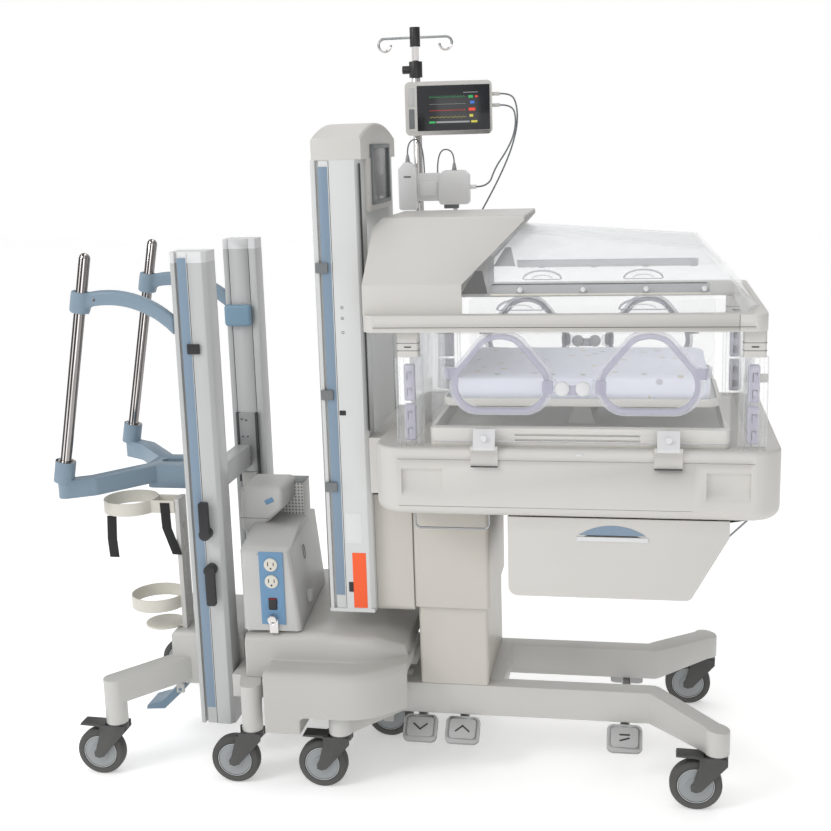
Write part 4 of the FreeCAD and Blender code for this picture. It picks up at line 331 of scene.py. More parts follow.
def alone(piece):
    """Make one piece the only selected and the active one."""
    bpy.ops.object.select_all(action="DESELECT")
    piece.select_set(True)
    bpy.context.view_layer.objects.active = piece


def round_edges(node, material, width=0.0015, angle=32, segments=2):
    """The piece of one CAD node with its sharp edges rounded, shown in place of the node."""
    source = frame["nodes"][node]
    piece = bpy.data.objects.new(node + "_piece", source.data.copy())
    bpy.context.collection.objects.link(piece)
    alone(piece)
    piece.data.materials.clear()
    piece.data.materials.append(material)
    bpy.ops.object.mode_set(mode="EDIT")
    bpy.ops.mesh.select_all(action="SELECT")
    bpy.ops.mesh.remove_doubles(threshold=0.00002)
    bpy.ops.mesh.dissolve_limited(angle_limit=math.radians(0.8))
    bpy.ops.mesh.select_all(action="SELECT")
    bpy.ops.mesh.normals_make_consistent(inside=False)
    bpy.ops.object.mode_set(mode="OBJECT")
    if width:
        bevel = piece.modifiers.new("edge_radius", "BEVEL")
        bevel.width = width
        bevel.segments = segments
        bevel.limit_method = "ANGLE"
        bevel.angle_limit = math.radians(angle)
        bevel.use_clamp_overlap = True
        bpy.ops.object.modifier_apply(modifier="edge_radius")
    bpy.ops.object.shade_smooth_by_angle(angle=math.radians(35))
    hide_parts(node)
    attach(piece, body_of[node])
    shown[node] = piece
    return piece


def paint(piece, material, low, high, test=None):
    """Give the faces of a piece inside a box, or those that also pass a test, another finish."""
    names = [m.name for m in piece.data.materials]
    if material.name not in names:
        piece.data.materials.append(material)
        names.append(material.name)
    index = names.index(material.name)
    for face in piece.data.polygons:
        inside = all(low[k] <= face.center[k] <= high[k] for k in range(3))
        if inside and (test is None or test(face)):
            face.material_index = index


for node, material, width in (
    ("base_frame", rail_grey, 0.006), ("column_lower", cream, 0.003), ("column_upper", cream, 0.003),
    ("bed_shell", warm_white, 0.004), ("bed_deck", tray_grey, 0.002), ("bed_uprights", post_white, 0.0008),
    ("display_housing", warm_white, 0.008), ("bed_fittings", wire_steel, 0),
    ("canopy_hood", warm_white, 0.003), ("mattress_tray", tray_grey, 0.0015), ("drawer", warm_white, 0.0015),
    ("pole_lower", chrome, 0.0006), ("pole_upper", chrome, 0.0006), ("monitor", warm_white, 0.0),
    ("sensor_modules", module_white, 0.005), ("shuttle_chassis", rail_grey, 0.006),
    ("shuttle_cover", cover_white, 0.012), ("shuttle_uprights", mast_white, 0.0008),
    ("battery_box", unit_white, 0.003), ("power_switch", black, 0.0006), ("push_handle", handle_blue, 0.0015),
    ("tank_holders", ring_white, 0.0006), ("clamp_lever_upper", black, 0.001),
    ("clamp_lever_lower", black, 0.001), ("dock_pedal", pedal_blue, 0.0015),
    ("pedal_down", pedal_grey, 0.001), ("pedal_up", pedal_grey, 0.001), ("pedal_tilt", pedal_grey, 0.001),
):
    round_edges(node, material, width)
for node in frame["nodes"]:
    if node.startswith("caster_fork") or node.startswith("brake_lever"):
        round_edges(node, fork_grey, 0.0015)

# The wheels: eight twin-bearing casters of 125 mm and the shuttle's centre wheel.
# Each is a grey rubber tyre on a lighter moulded hub with a bright ring, a dark groove and a hub boss.
ring_bright = surface("ring_bright", (0.52, 0.55, 0.56), smooth=0.2, rough=0.3)


def coat_picked(piece, material):
    """Give the picked faces of the piece that is open for editing another finish."""
    names = [m.name for m in piece.data.materials]
    if material.name not in names:
        piece.data.materials.append(material)
        names.append(material.name)
    piece.active_material_index = names.index(material.name)
    bpy.ops.object.material_slot_assign()


def cap_steps(piece, face_at, steps):
    """Step a flat round face inwards: each step insets it, sinks or raises it, and gives it a finish."""
    alone(piece)
    bpy.ops.object.mode_set(mode="EDIT")
    bpy.ops.mesh.select_mode(type="FACE")
    bpy.ops.mesh.select_all(action="DESELECT")
    mesh = bmesh.from_edit_mesh(piece.data)
    picked = max(mesh.faces, key=lambda f: (face_at(f), f.calc_area()))
    picked.select = True
    bmesh.update_edit_mesh(piece.data)
    for inset, depth, material in steps:
        bpy.ops.mesh.inset(thickness=inset, depth=depth)
        coat_picked(piece, material)
    bpy.ops.object.mode_set(mode="OBJECT")


def settle(piece, body, *nodes, smooth=35):
    """Put a finished piece's place into its mesh, smooth it and let it ride its body."""
    alone(piece)
    bpy.ops.object.transform_apply(location=True, rotation=True, scale=True)
    bpy.ops.object.shade_smooth_by_angle(angle=math.radians(smooth))
    for node in nodes:
        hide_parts(node)
    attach(piece, body)
    return piece


def disc(name, centre, axis, radius, depth, material, sides, rim, segments, profile=0.5):
    """A short cylinder along one axis, with both its rims eased."""
    turns = {0: (0, math.pi / 2, 0), 1: (math.pi / 2, 0, 0), 2: (0, 0, 0)}
    bpy.ops.object.select_all(action="DESELECT")
    bpy.ops.mesh.primitive_cylinder_add(
        vertices=sides, radius=radius, depth=depth, location=centre, rotation=turns[axis],
    )
    piece = bpy.context.active_object
    piece.name = name
    piece.data.materials.append(material)
    bpy.ops.object.mode_set(mode="EDIT")
    bpy.ops.mesh.select_mode(type="EDGE")
    bpy.ops.mesh.select_all(action="DESELECT")
    mesh = bmesh.from_edit_mesh(piece.data)
    for edge in mesh.edges:
        edge.select = abs(edge.verts[0].co.z - edge.verts[1].co.z) < 1e-6
    bmesh.update_edit_mesh(piece.data)
    bpy.ops.mesh.bevel(offset=rim, segments=segments, profile=profile)
    bpy.ops.object.mode_set(mode="OBJECT")
    return piece


def wheel(node, name, body):
    """A tyre on its hub, stepped on both sides, in the place of one CAD node."""
    low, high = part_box(node)
    radius = (high.z - low.z) / 2
    width = high.y - low.y
    piece = disc(name, (low + high) / 2, 1, radius, width, tyre_grey, 72, width * 0.3, 5, 0.6)
    for side in (-1, 1):
        cap_steps(piece, lambda f, s=side: round(s * f.calc_center_median().z, 5), (
            (radius * 0.10, 0.0, tyre_grey), (0.0012, -0.0015, tyre_grey), (0.0018, 0.0012, ring_bright),
            (0.0016, 0.0, black), (0.001, -0.001, hub_grey), (radius * 0.28, 0.002, hub_grey),
            (0.001, 0.0028, hub_grey), (0.003, 0.0, hub_grey),
        ))
    settle(piece, body, node)


for node in frame["nodes"]:
    if node.startswith("caster_wheel_"):
        wheel_name = node[len("caster_"):]
        wheel(node, wheel_name, wheel_name)
wheel("centre_wheel", "wheel_centre", "centre_wheel")

# The uprights of the bed and of the shuttle: white lacquered aluminium extrusions.
# Blue cover strips lie in their grooves, slots with painted shade inside run beside them, clips hold
# the leads, moulded caps close the tops, and blank plates stand where a ward puts its labels.


def loose_parts(piece):
    """The separate bodies of a piece, each as its faces and its lowest and highest corner."""
    owner = list(range(len(piece.data.vertices)))

    def root(i):
        while owner[i] != i:
            owner[i] = owner[owner[i]]
            i = owner[i]
        return i

    for edge in piece.data.edges:
        owner[root(edge.vertices[0])] = root(edge.vertices[1])
    groups = {}
    for face in piece.data.polygons:
        groups.setdefault(root(face.vertices[0]), []).append(face)
    found = []
    for faces in groups.values():
        points = [piece.data.vertices[i].co for face in faces for i in face.vertices]
        low = [min(p[k] for p in points) for k in range(3)]
        high = [max(p[k] for p in points) for k in range(3)]
        found.append((faces, low, high))
    return found


def paint_parts(piece, material, test):
    """Give whole loose parts of a piece another finish, picked by their lowest and highest corner."""
    piece.data.materials.append(material)
    for faces, low, high in loose_parts(piece):
        if test(low, high):
            for face in faces:
                face.material_index = len(piece.data.materials) - 1


def pick(piece, test=lambda f: True):
    """Open a piece for editing with only the faces selected that pass the test."""
    if bpy.context.view_layer.objects.active is not piece or bpy.context.mode != "EDIT_MESH":
        if bpy.context.mode == "EDIT_MESH":
            bpy.ops.object.mode_set(mode="OBJECT")
        alone(piece)
        bpy.ops.object.mode_set(mode="EDIT")
    bpy.ops.mesh.select_mode(type="FACE")
    bpy.ops.mesh.select_all(action="DESELECT")
    mesh = bmesh.from_edit_mesh(piece.data)
    for face in mesh.faces:
        face.select = test(face)
    bmesh.update_edit_mesh(piece.data)


def cut_across(piece, axis, value, test=lambda f: True):
    """Cut the faces of a piece that pass the test at one place along an axis."""
    pick(piece, test)
    place = [0.0, 0.0, 0.0]
    normal = [0.0, 0.0, 0.0]
    place[axis] = value
    normal[axis] = 1.0
    bpy.ops.mesh.bisect(plane_co=place, plane_no=normal)


def sink(piece, axis, sign, plane, low, high, depth, material):
    """Cut a rectangle into a flat side of a piece and press it in, with its walls in the given finish."""
    across = [k for k in range(3) if k != axis]

    def on_side(face):
        return abs(face.calc_center_median()[axis] - plane) < 0.0005 and face.normal[axis] * sign > 0.99

    for k in across:
        for value in (low[k], high[k]):
            cut_across(piece, k, value, on_side)
    pick(piece, lambda f: on_side(f) and all(low[k] < f.calc_center_median()[k] < high[k] for k in across))
    move = [0.0, 0.0, 0.0]
    move[axis] = -sign * depth
    bpy.ops.mesh.extrude_region_move(TRANSFORM_OT_translate={"value": move})
    bpy.ops.mesh.select_more()
    coat_picked(piece, material)
    bpy.ops.object.mode_set(mode="OBJECT")


def slab(name, low, high, material, body, radius=0.0008, segments=3, turn=None):
    """A small moulded block between two corners, with rounded edges."""
    bpy.ops.object.select_all(action="DESELECT")
    centre = [(a + b) / 2 for a, b in zip(low, high)]
    bpy.ops.mesh.primitive_cube_add(size=1, location=centre)
    piece = bpy.context.active_object
    piece.name = name
    piece.scale = [b - a for a, b in zip(low, high)]
    bpy.ops.object.transform_apply(location=False, rotation=False, scale=True)
    if turn:
        piece.rotation_mode = "QUATERNION"
        piece.rotation_quaternion = turn
    piece.data.materials.append(material)
    bpy.ops.object.mode_set(mode="EDIT")
    bpy.ops.mesh.select_all(action="SELECT")
    bpy.ops.mesh.bevel(offset=radius, segments=segments)
    bpy.ops.object.mode_set(mode="OBJECT")
    return settle(piece, body)


def knob(name, centre, axis, radius, depth, material, body, steps=(), rim=0.0006, sides=40):
    """A turned or moulded round piece: a short cylinder with an eased rim and stepped outer face."""
    piece = disc(name, centre, axis, radius, depth, material, sides, rim, 3)
    for side in (-1, 1):
        if steps:
            cap_steps(piece, lambda f, s=side: round(s * f.calc_center_median().z, 5), steps)
    return settle(piece, body)


for node in ("bed_uprights", "shuttle_uprights"):
    paint_parts(shown[node], strip_blue, lambda a, b: b[2] - a[2] > 0.9 and b[0] - a[0] < 0.03)
paint_parts(shown["bed_uprights"], clip_grey, lambda a, b: b[2] - a[2] < 0.03 and b[0] - a[0] < 0.04)
paint_parts(shown["shuttle_uprights"], black, lambda a, b: b[2] - a[2] < 0.03 and b[0] - a[0] < 0.04)
# slot_shadow is near black: inside the sunk slots and grooves it is painted shade; it also makes the dark
# edges beside the carriage plate, the strips under the hinge plates and the pedals' arrow marks.
slot_dark = surface("slot_shadow", (0.045, 0.047, 0.05))
bed_near_y, bed_far_y = -0.2232, 0.1868
mast_near_y, mast_far_y, mast_x0 = -0.2532, 0.2168, -0.5394
far_post_y = 0.1468
slot_w, slot_deep = 0.0014, 0.0016
posts, masts = shown["bed_uprights"], shown["shuttle_uprights"]
for at in (-0.1745, -0.1432):
    for plane, sign in ((bed_near_y, -1), (bed_far_y, 1)):
        sink(posts, 1, sign, plane, (at, 0, 0.440), (at + slot_w, 0, 1.548), slot_deep, slot_dark)
for at in (-0.5262, -0.4954):
    for plane, sign in ((mast_near_y, -1), (mast_far_y, 1)):
        sink(masts, 1, sign, plane, (at, 0, 0.122), (at + slot_w, 0, 1.342), slot_deep, slot_dark)
for at in (-0.2380, -0.2090):
    sink(masts, 0, -1, mast_x0, (0, at, 0.122), (0, at + slot_w, 1.342), slot_deep, slot_dark)
for at in (-0.5250, -0.4690):
    sink(masts, 1, -1, far_post_y, (at, 0, 0.300), (at + 0.0016, 0, 1.342), slot_deep, slot_dark)
label_white = surface("label_white", (0.66, 0.665, 0.67), smooth=0.45, rough=0.6)
label_orange = surface("label_orange", (0.86, 0.105, 0.02), smooth=0.45, rough=0.6)
label_t = 0.0006
for name, low, high, material in (
    ("plate_white", (-0.1370, 0.6125), (-0.0965, 0.6895), label_white),
    ("plate_orange", (-0.1235, 0.4420), (-0.0885, 0.5870), label_orange),
):
    slab(name, (low[0], bed_near_y - label_t, low[1]), (high[0], bed_near_y + 0.0002, high[1]), material,
         "bed", 0.0002)
for x, z, w, h in ((-0.1325, 0.944, 0.008, 0.006), (-0.1290, 0.497, 0.006, 0.013)):
    slab(f"grommet_{round(z * 1000)}", (x - w, bed_near_y - 0.0015, z - h),
         (x + w, bed_near_y + 0.001, z + h), black, "bed", 0.0012)
for z in (1.142, 1.176, 1.202):
    knob(f"dimple_{round(z * 1000)}", (-0.1235, bed_near_y, z), 1, 0.0038, 0.0012, clip_grey, "bed",
         ((0.0012, -0.0006, black),))
hub_block = surface("hub_block", (0.175, 0.29, 0.385))
slab("arm_foot_far", (-0.5405, 0.1248, 1.107), (-0.4655, far_post_y, 1.166), hub_block, "shuttle", 0.009, 5)
mast_cap_z = 1.3165
cut_across(masts, 2, mast_cap_z)
bpy.ops.object.mode_set(mode="OBJECT")
paint(masts, label_white, (-1, -1, mast_cap_z), (0, 1, 1.4),
      lambda f: strip_blue.name != masts.data.materials[f.material_index].name)
# A black strip in the gap between the bed's near upright and the head housing: painted shade.
slab("upright_gap_shade", (-0.0706, -0.2226, 0.9000), (-0.0672, -0.2140, 1.5400), black, "bed", 0.0008, 2)
rail_plate = surface("rail_plate", (0.36, 0.365, 0.365), smooth=0.25, rough=0.4, metal=0.6)
slab("carriage_plate", (-0.5215, 0.1395, 0.668), (-0.4725, far_post_y, 0.862), rail_plate, "shuttle", 0.0012)
for side in (-0.5275, -0.4735):
    slab(f"carriage_edge_{round(-side * 1000)}", (side, 0.1372, 0.666), (side + 0.007, far_post_y, 0.864),
         slot_dark, "shuttle", 0.001)
for x, z in (
    (-0.512, 0.845), (-0.499, 0.842), (-0.511, 0.795), (-0.497, 0.795), (-0.510, 0.740), (-0.495, 0.738),
):
    knob(f"carriage_screw_{round(-x * 1000)}_{round(z * 1000)}", (x, 0.1390, z), 1, 0.0038, 0.004, wire_steel,
         "shuttle", ((0.0014, -0.001, black),), sides=20)
slab("carriage_block", (-0.5200, 0.1350, 0.650), (-0.4760, far_post_y, 0.694), unit_white, "shuttle", 0.003)

# The push handle: two chromed bars in light blue cast arms.
# The bars are polished tube with rounded ends and painted reflection bands in their colour, and each upper
# arm holds its bar in a split clamp.
bar_low, bar_high, bar_reach = Vector((-0.8684, 0, 0.770)), Vector((-0.7604, 0, 1.343)), 0.0146
bar_line = (bar_high - bar_low).normalized()
bar_ys = (-0.23825, 0.20175)
shuttle_mid_y = (bar_ys[0] + bar_ys[1]) / 2


def on_bar(face):
    """Whether a face is on the round skin of one of the two inclined bars."""
    for y in bar_ys:
        out = face.center - Vector((bar_low.x, y, bar_low.z))
        out -= bar_line * out.dot(bar_line)
        if out.length < bar_reach:
            return True
    return False


arms = shown["push_handle"]
bar_chrome = surface("bar_chrome", (0.62, 0.60, 0.59), smooth=0.10, rough=0.16, depth=0.00001, metal=1.0)
nodes = bar_chrome.node_tree.nodes
link = bar_chrome.node_tree.links.new
place = nodes.new("ShaderNodeTexCoord")
split = nodes.new("ShaderNodeSeparateXYZ")
link(place.outputs["Object"], split.inputs[0])


def sum_of(kind, a, b, c=0.0):
    """One step of arithmetic on sockets or numbers in the bar's material."""
    step = nodes.new("ShaderNodeMath")
    step.operation = kind
    for socket, value in zip(step.inputs, (a, b, c)):
        if isinstance(value, (int, float)):
            socket.default_value = value
        else:
            link(value, socket)
    return step.outputs[0]


# Painted reflection: the bars' colour is a ramp of dark and light bands laid across each bar as it is seen
# from the camera, standing in for the studio's reflections.
lean = bar_line.x / bar_line.z
bar_r, half_gap, seen_x, seen_y = 0.014, 0.22, 0.983, 0.182
off_x = sum_of("MULTIPLY_ADD", split.outputs["Z"], -lean, lean * bar_low.z - bar_low.x)
off_x = sum_of("ADD", off_x, split.outputs["X"])
off_y = sum_of("WRAP", sum_of("ADD", split.outputs["Y"], -bar_ys[0]), half_gap, -half_gap)
over = sum_of("MULTIPLY_ADD", off_y, seen_y, sum_of("MULTIPLY", off_x, seen_x))
fraction = sum_of("MULTIPLY_ADD", over, 0.5 / bar_r, 0.5)
painted_reflection_bands = nodes.new("ShaderNodeValToRGB")
reflection_tones = (
    (0.0, 0.30), (0.05, 0.055), (0.25, 0.06), (0.29, 0.95), (0.36, 0.92), (0.41, 0.05), (0.52, 0.07),
    (0.56, 0.85), (0.60, 0.80), (0.66, 0.26), (0.86, 0.36), (1.0, 0.20),
)
while len(painted_reflection_bands.color_ramp.elements) < len(reflection_tones):
    painted_reflection_bands.color_ramp.elements.new(0.5)
for stop, (at, tone) in zip(painted_reflection_bands.color_ramp.elements, reflection_tones):
    stop.position = at
    stop.color = (tone, tone * 0.95, tone * 0.93, 1)
link(fraction, painted_reflection_bands.inputs["Fac"])
link(painted_reflection_bands.outputs["Color"], nodes["Principled BSDF"].inputs["Base Color"])
paint(arms, bar_chrome, (-1, -0.26, 0.771), (-0.74, 0.23, 1.36), on_bar)

end_drop, end_r, dome_steps, dome_turn = 0.0120, 0.0125, 6, 14
bar_length = (bar_high - bar_low).length
for y in bar_ys:
    start = Vector((bar_low.x, y, bar_low.z))

    def at_end(face):
        """Whether a face is the flat top of this bar."""
        out = face.calc_center_median() - start
        along = out.dot(bar_line)
        return along > bar_length - 0.001 and (out - bar_line * along).length < 0.004

    pick(arms, at_end)
    bpy.ops.mesh.select_mode(type="VERT")
    mesh = bmesh.from_edit_mesh(arms.data)
    for vertex in mesh.verts:
        out = vertex.co - start
        along = out.dot(bar_line)
        vertex.select = along > bar_length - 0.004 and (out - bar_line * along).length < 0.016
    bmesh.update_edit_mesh(arms.data)
    bpy.ops.transform.translate(value=-bar_line * end_drop)
    bpy.ops.mesh.select_mode(type="FACE")
    start -= bar_line * end_drop
    pick(arms, at_end)
    coat_picked(arms, bar_chrome)
    for i in range(dome_steps):
        low_turn, high_turn = math.radians(i * dome_turn), math.radians((i + 1) * dome_turn)
        bpy.ops.mesh.inset(thickness=end_r * (math.cos(low_turn) - math.cos(high_turn)),
                           depth=(end_drop - 0.0005) * (math.sin(high_turn) - math.sin(low_turn)))
    bpy.ops.object.mode_set(mode="OBJECT")

arch_rise, arch_from, arch_span = 0.013, 0.055, 0.155
castings = [faces for faces, a, b in loose_parts(arms) if b[2] - a[2] < 0.3]
inside = {face.index for faces in castings for face in faces}
pick(arms, lambda f: f.index in inside)
bpy.ops.mesh.separate(type="SELECTED")
bpy.ops.object.mode_set(mode="OBJECT")
cast = [o for o in bpy.context.selected_objects if o is not arms][0]
alone(cast)
remesh = cast.modifiers.new("cast_skin", "REMESH")
remesh.mode = "VOXEL"
remesh.voxel_size = 0.0035
bpy.ops.object.modifier_apply(modifier="cast_skin")
for vertex in cast.data.vertices:
    from_middle = abs(vertex.co.y - shuttle_mid_y)
    if vertex.co.z < 0.9 and vertex.co.x < -0.60:
        share = min(1.0, max(0.0, (from_middle - arch_from) / arch_span))
        vertex.co.z += arch_rise * math.sin(math.pi * share)
soft = cast.modifiers.new("cast_edges", "SMOOTH")
soft.factor = 0.5
soft.iterations = 22
bpy.ops.object.modifier_apply(modifier="cast_edges")
bpy.ops.object.shade_smooth()
arms.select_set(True)
bpy.context.view_layer.objects.active = arms
bpy.ops.object.join()
for side, face_y in (("near", -0.2512), ("far", 0.2147)):
    knob("clamp_screw_" + side, (-0.7424, face_y, 1.2287), 1, 0.0042, 0.003, wire_steel, "shuttle",
         ((0.0016, -0.0012, black),), sides=24)

# The tank holders: off-white moulded rings on a perforated bracket.
# Two black webbing straps hang from the upper ring, to tie the gas cylinder down.
paint_parts(shown["tank_holders"], webbing, lambda a, b: b[2] - a[2] > 0.06 and b[0] - a[0] < 0.08)

# The power unit: a white moulded housing on the shuttle's cover.
# Its blue outlet panel carries two cream sockets, the rocker switch and a chromed plug clip, and its
# cap has a parting line and a vent plate on the side.
unit = shown["battery_box"]
paint(unit, panel_blue, (-0.3526, -0.2714, 0.4075), (-0.2902, -0.2690, 0.5985))
paint(unit, ring_white, (-0.3386, -0.2760, 0.5045), (-0.3042, -0.2713, 0.5835))
paint(shown["power_switch"], surface("rocker_red", (0.55, 0.03, 0.015)), (-1, -1, 0.4625), (1, 1, 1))
for z in (0.566, 0.522):
    for x, h in ((-0.3285, 0.0052), (-0.3140, 0.0042)):
        slab(f"socket_slot_{round(z * 1000)}_{round(-x * 1000)}", (x - 0.0012, -0.2756, z + 0.002 - h),
             (x + 0.0012, -0.2748, z + 0.002 + h), black, "shuttle", 0.0003)
    knob(f"socket_earth_{round(z * 1000)}", (-0.3213, -0.2752, z - 0.0095), 1, 0.0026, 0.0008, black,
         "shuttle", sides=20)
knob("plug_body", (-0.3213, -0.2800, 0.4250), 1, 0.0115, 0.0180, chrome, "shuttle",
     ((0.003, -0.002, chrome),))
slab("plug_clip", (-0.3330, -0.2755, 0.3850), (-0.3096, -0.2715, 0.4250), chrome, "shuttle", 0.0016)

crown_z, box_top, crown_rise, front_run, rear_run = 0.598, 0.764, 0.22, 0.83, -0.4
side_base, side_sweep, side_lean, side_droop = -0.273, 0.09, 0.10, 0.016
for level in (0.45, crown_z, 0.64):
    cut_across(unit, 2, level)
bpy.ops.object.mode_set(mode="OBJECT")
box_side = (
    (0.0, -0.2244), (0.39, -0.2244), (0.476, -0.1944), (0.72, -0.2334), (box_top, -0.2714), (0.9, -0.2714),
)
for vertex in unit.data.vertices:
    place = vertex.co
    for (z0, x0), (z1, x1) in zip(box_side, box_side[1:]):
        if z0 <= place.z < z1:
            side_x = x0 + (x1 - x0) * (place.z - z0) / (z1 - z0)
    over = place.z - crown_z
    if over > 0:
        place.z = crown_z + over * crown_rise
        place.y += over * (front_run if place.y < -0.2 else rear_run if place.y > 0.05 else 0.0)
    if place.x > -0.288:
        place.x += side_base - (place.y + 0.268) * side_sweep + (0.6 - place.z) * side_lean - side_x
        if over > 0:
            place.z -= side_droop * over / (box_top - crown_z)
cap_front, cap_top, slope_z, cap_slope = -0.132, 0.7270, 0.672, 1.1
cap = slab("unit_cap", (-0.4400, cap_front, 0.6000), (-0.3230, 0.0100, cap_top), unit_white, "shuttle",
           0.016, 6)
cut_across(cap, 2, slope_z)
bpy.ops.object.mode_set(mode="OBJECT")
for vertex in cap.data.vertices:
    if vertex.co.x > -0.36 and vertex.co.z < slope_z:
        vertex.co.x -= (slope_z - vertex.co.z) * cap_slope
slab("unit_cap_line", (-0.4400, cap_front - 0.0006, 0.6420), (-0.3640, cap_front + 0.001, 0.6434), clip_grey,
     "shuttle", 0.0004, 2)
slab("unit_cap_lens", (-0.3720, cap_front - 0.0012, 0.6830), (-0.3480, cap_front + 0.001, 0.6960), panel_blue,
     "shuttle", 0.0008, 2, Quaternion((0, 1, 0), -0.45))
# The vent plate's holes are not cut: dark dots in its colour stand for them, painted shade where the holes
# would show the dark inside.
mesh_white = surface("mesh_white", (0.60, 0.60, 0.59))
nodes = mesh_white.node_tree.nodes
link = mesh_white.node_tree.links.new
place = nodes.new("ShaderNodeTexCoord")
holes = nodes.new("ShaderNodeTexVoronoi")
holes.inputs["Scale"].default_value = 112
holes.inputs["Randomness"].default_value = 0
painted_hole_shade = nodes.new("ShaderNodeValToRGB")
painted_hole_shade.color_ramp.elements[0].position = 0.34
painted_hole_shade.color_ramp.elements[0].color = (0.20, 0.20, 0.20, 1)
painted_hole_shade.color_ramp.elements[1].position = 0.44
painted_hole_shade.color_ramp.elements[1].color = (0.62, 0.62, 0.61, 1)
link(place.outputs["Object"], holes.inputs["Vector"])
link(holes.outputs["Distance"], painted_hole_shade.inputs["Fac"])
link(painted_hole_shade.outputs["Color"], nodes["Principled BSDF"].inputs["Base Color"])
slab("unit_mesh", (-0.3700, -0.0200, 0.5700), (-0.2990, 0.0420, 0.7110), mesh_white, "shuttle", 0.0015)
slab("unit_mesh_rim", (-0.3700, -0.0205, 0.7085), (-0.2985, 0.0425, 0.7120), clip_grey, "shuttle", 0.001, 2)
bpy.ops.mesh.primitive_torus_add(
    major_radius=0.0115, minor_radius=0.0008, major_segments=48, minor_segments=8,
    location=(-0.2824, -0.1000, 0.5450),
)
vent = bpy.context.active_object
vent.name = "unit_side_vent"
vent.scale = (1.6, 1.0, 1.0)
bpy.ops.object.transform_apply(location=False, rotation=False, scale=True)
outward = Vector((1.0, 0.09, 0.10)).normalized()
upward = (Vector((0, 0, 1)) - outward * outward.z).normalized()
vent.rotation_mode = "QUATERNION"
vent.rotation_quaternion = Matrix((upward, outward.cross(upward), outward)).transposed().to_quaternion()
vent.data.materials.append(clip_grey)
settle(vent, "shuttle")
slab("unit_side_plug", (-0.2800, -0.1400, 0.4200), (-0.2560, -0.1160, 0.4500), unit_white, "shuttle", 0.004)
slab("unit_rim_line", (-0.3590, -0.2690, 0.5912), (-0.2900, -0.2676, 0.5926), clip_grey, "shuttle", 0.0005, 2)

# The shuttle's cover: one moulded shell with soft edges whose nose narrows towards the column.
# It hides the dock and the fifth wheel, and the power unit stands on its rear half.
cover = shown["shuttle_cover"]
nose_x, nose_narrowing, step = -0.130, 0.27, 0.012
low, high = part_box("shuttle_cover")
for axis in range(3):
    for i in range(1, int((high[axis] - low[axis]) / step)):
        cut_across(cover, axis, low[axis] + i * step)
bpy.ops.object.mode_set(mode="OBJECT")
for vertex in cover.data.vertices:
    past = (vertex.co.x - nose_x) / (high.x - nose_x)
    if past > 0:
        narrowed = 1 - nose_narrowing * past * past
        vertex.co.y = shuttle_mid_y + (vertex.co.y - shuttle_mid_y) * narrowed
eased = cover.modifiers.new("moulded_edges", "SMOOTH")
eased.factor = 0.5
eased.iterations = 10
alone(cover)
bpy.ops.object.modifier_apply(modifier="moulded_edges")
bpy.ops.object.shade_smooth_by_angle(angle=math.radians(50))

# The alarm display on the head housing: a dark glass screen that faces the bed.
# Four thin grey mouldings make its bezel.
screen_glass = surface("screen_glass", (0.085, 0.088, 0.092), smooth=0.10, rough=0.2, depth=0.00001)
slab("display_glass", (-0.0616, -0.1140, 1.4480), (-0.0588, 0.0776, 1.5740), screen_glass, "bed", 0.0008)
slab("display_bezel_top", (-0.0634, -0.1215, 1.5730), (-0.0560, 0.0851, 1.5830), clip_grey, "bed", 0.0015)
slab("display_bezel_low", (-0.0634, -0.1215, 1.4390), (-0.0560, 0.0851, 1.4490), clip_grey, "bed", 0.0015)
slab("display_bezel_near", (-0.0634, -0.1232, 1.4390), (-0.0560, -0.1132, 1.5830), clip_grey, "bed", 0.0015)
slab("display_bezel_far", (-0.0634, 0.0768, 1.4390), (-0.0560, 0.0868, 1.5830), clip_grey, "bed", 0.0015)

# The monitor, its pole and the two sensor modules on the far side.
# A moulded case with a black glass front shows plain coloured traces, the pole is chromed tube with
# a black head and clamp, and grey moulded strain reliefs hold the leads in the modules.


def tube(name, points, radius, material, body, smooth=False, closed=False, sides=4):
    """A round bar or line along points, bent smoothly where it is asked for, as a mesh."""
    path = bpy.data.curves.new(name, "CURVE")
    path.dimensions = "3D"
    spline = path.splines.new("NURBS" if smooth else "POLY")
    spline.points.add(len(points) - 1)
    for point, place in zip(spline.points, points):
        point.co = (*place, 1)
    spline.use_cyclic_u = closed
    if smooth:
        spline.order_u = 3
        spline.use_endpoint_u = True
        spline.resolution_u = 8
    path.bevel_depth = radius
    path.bevel_resolution = sides
    path.use_fill_caps = True
    line = bpy.data.objects.new(name, path)
    bpy.context.collection.objects.link(line)
    alone(line)
    bpy.ops.object.convert(target="MESH")
    line = bpy.context.active_object
    line.data.materials.clear()
    line.data.materials.append(material)
    return settle(line, body)


def glow(name, tint, strength):
    """A lit colour on a dark screen, with a fine raster."""
    material = bpy.data.materials.new(name)
    material.use_nodes = True
    nodes = material.node_tree.nodes
    shader = nodes["Principled BSDF"]
    shader.inputs["Roughness"].default_value = 0.3
    shader.inputs["Emission Strength"].default_value = strength
    seen_from = nodes.new("ShaderNodeTexCoord")
    raster = nodes.new("ShaderNodeTexNoise")
    raster.inputs["Scale"].default_value = 1400
    mixed = nodes.new("ShaderNodeMix")
    mixed.data_type = "RGBA"
    mixed.inputs[6].default_value = (*[c * 0.8 for c in tint], 1)
    mixed.inputs[7].default_value = (*tint, 1)
    link = material.node_tree.links.new
    link(seen_from.outputs["Object"], raster.inputs["Vector"])
    link(raster.outputs["Fac"], mixed.inputs[0])
    link(mixed.outputs[2], shader.inputs["Base Color"])
    link(mixed.outputs[2], shader.inputs["Emission Color"])
    return material


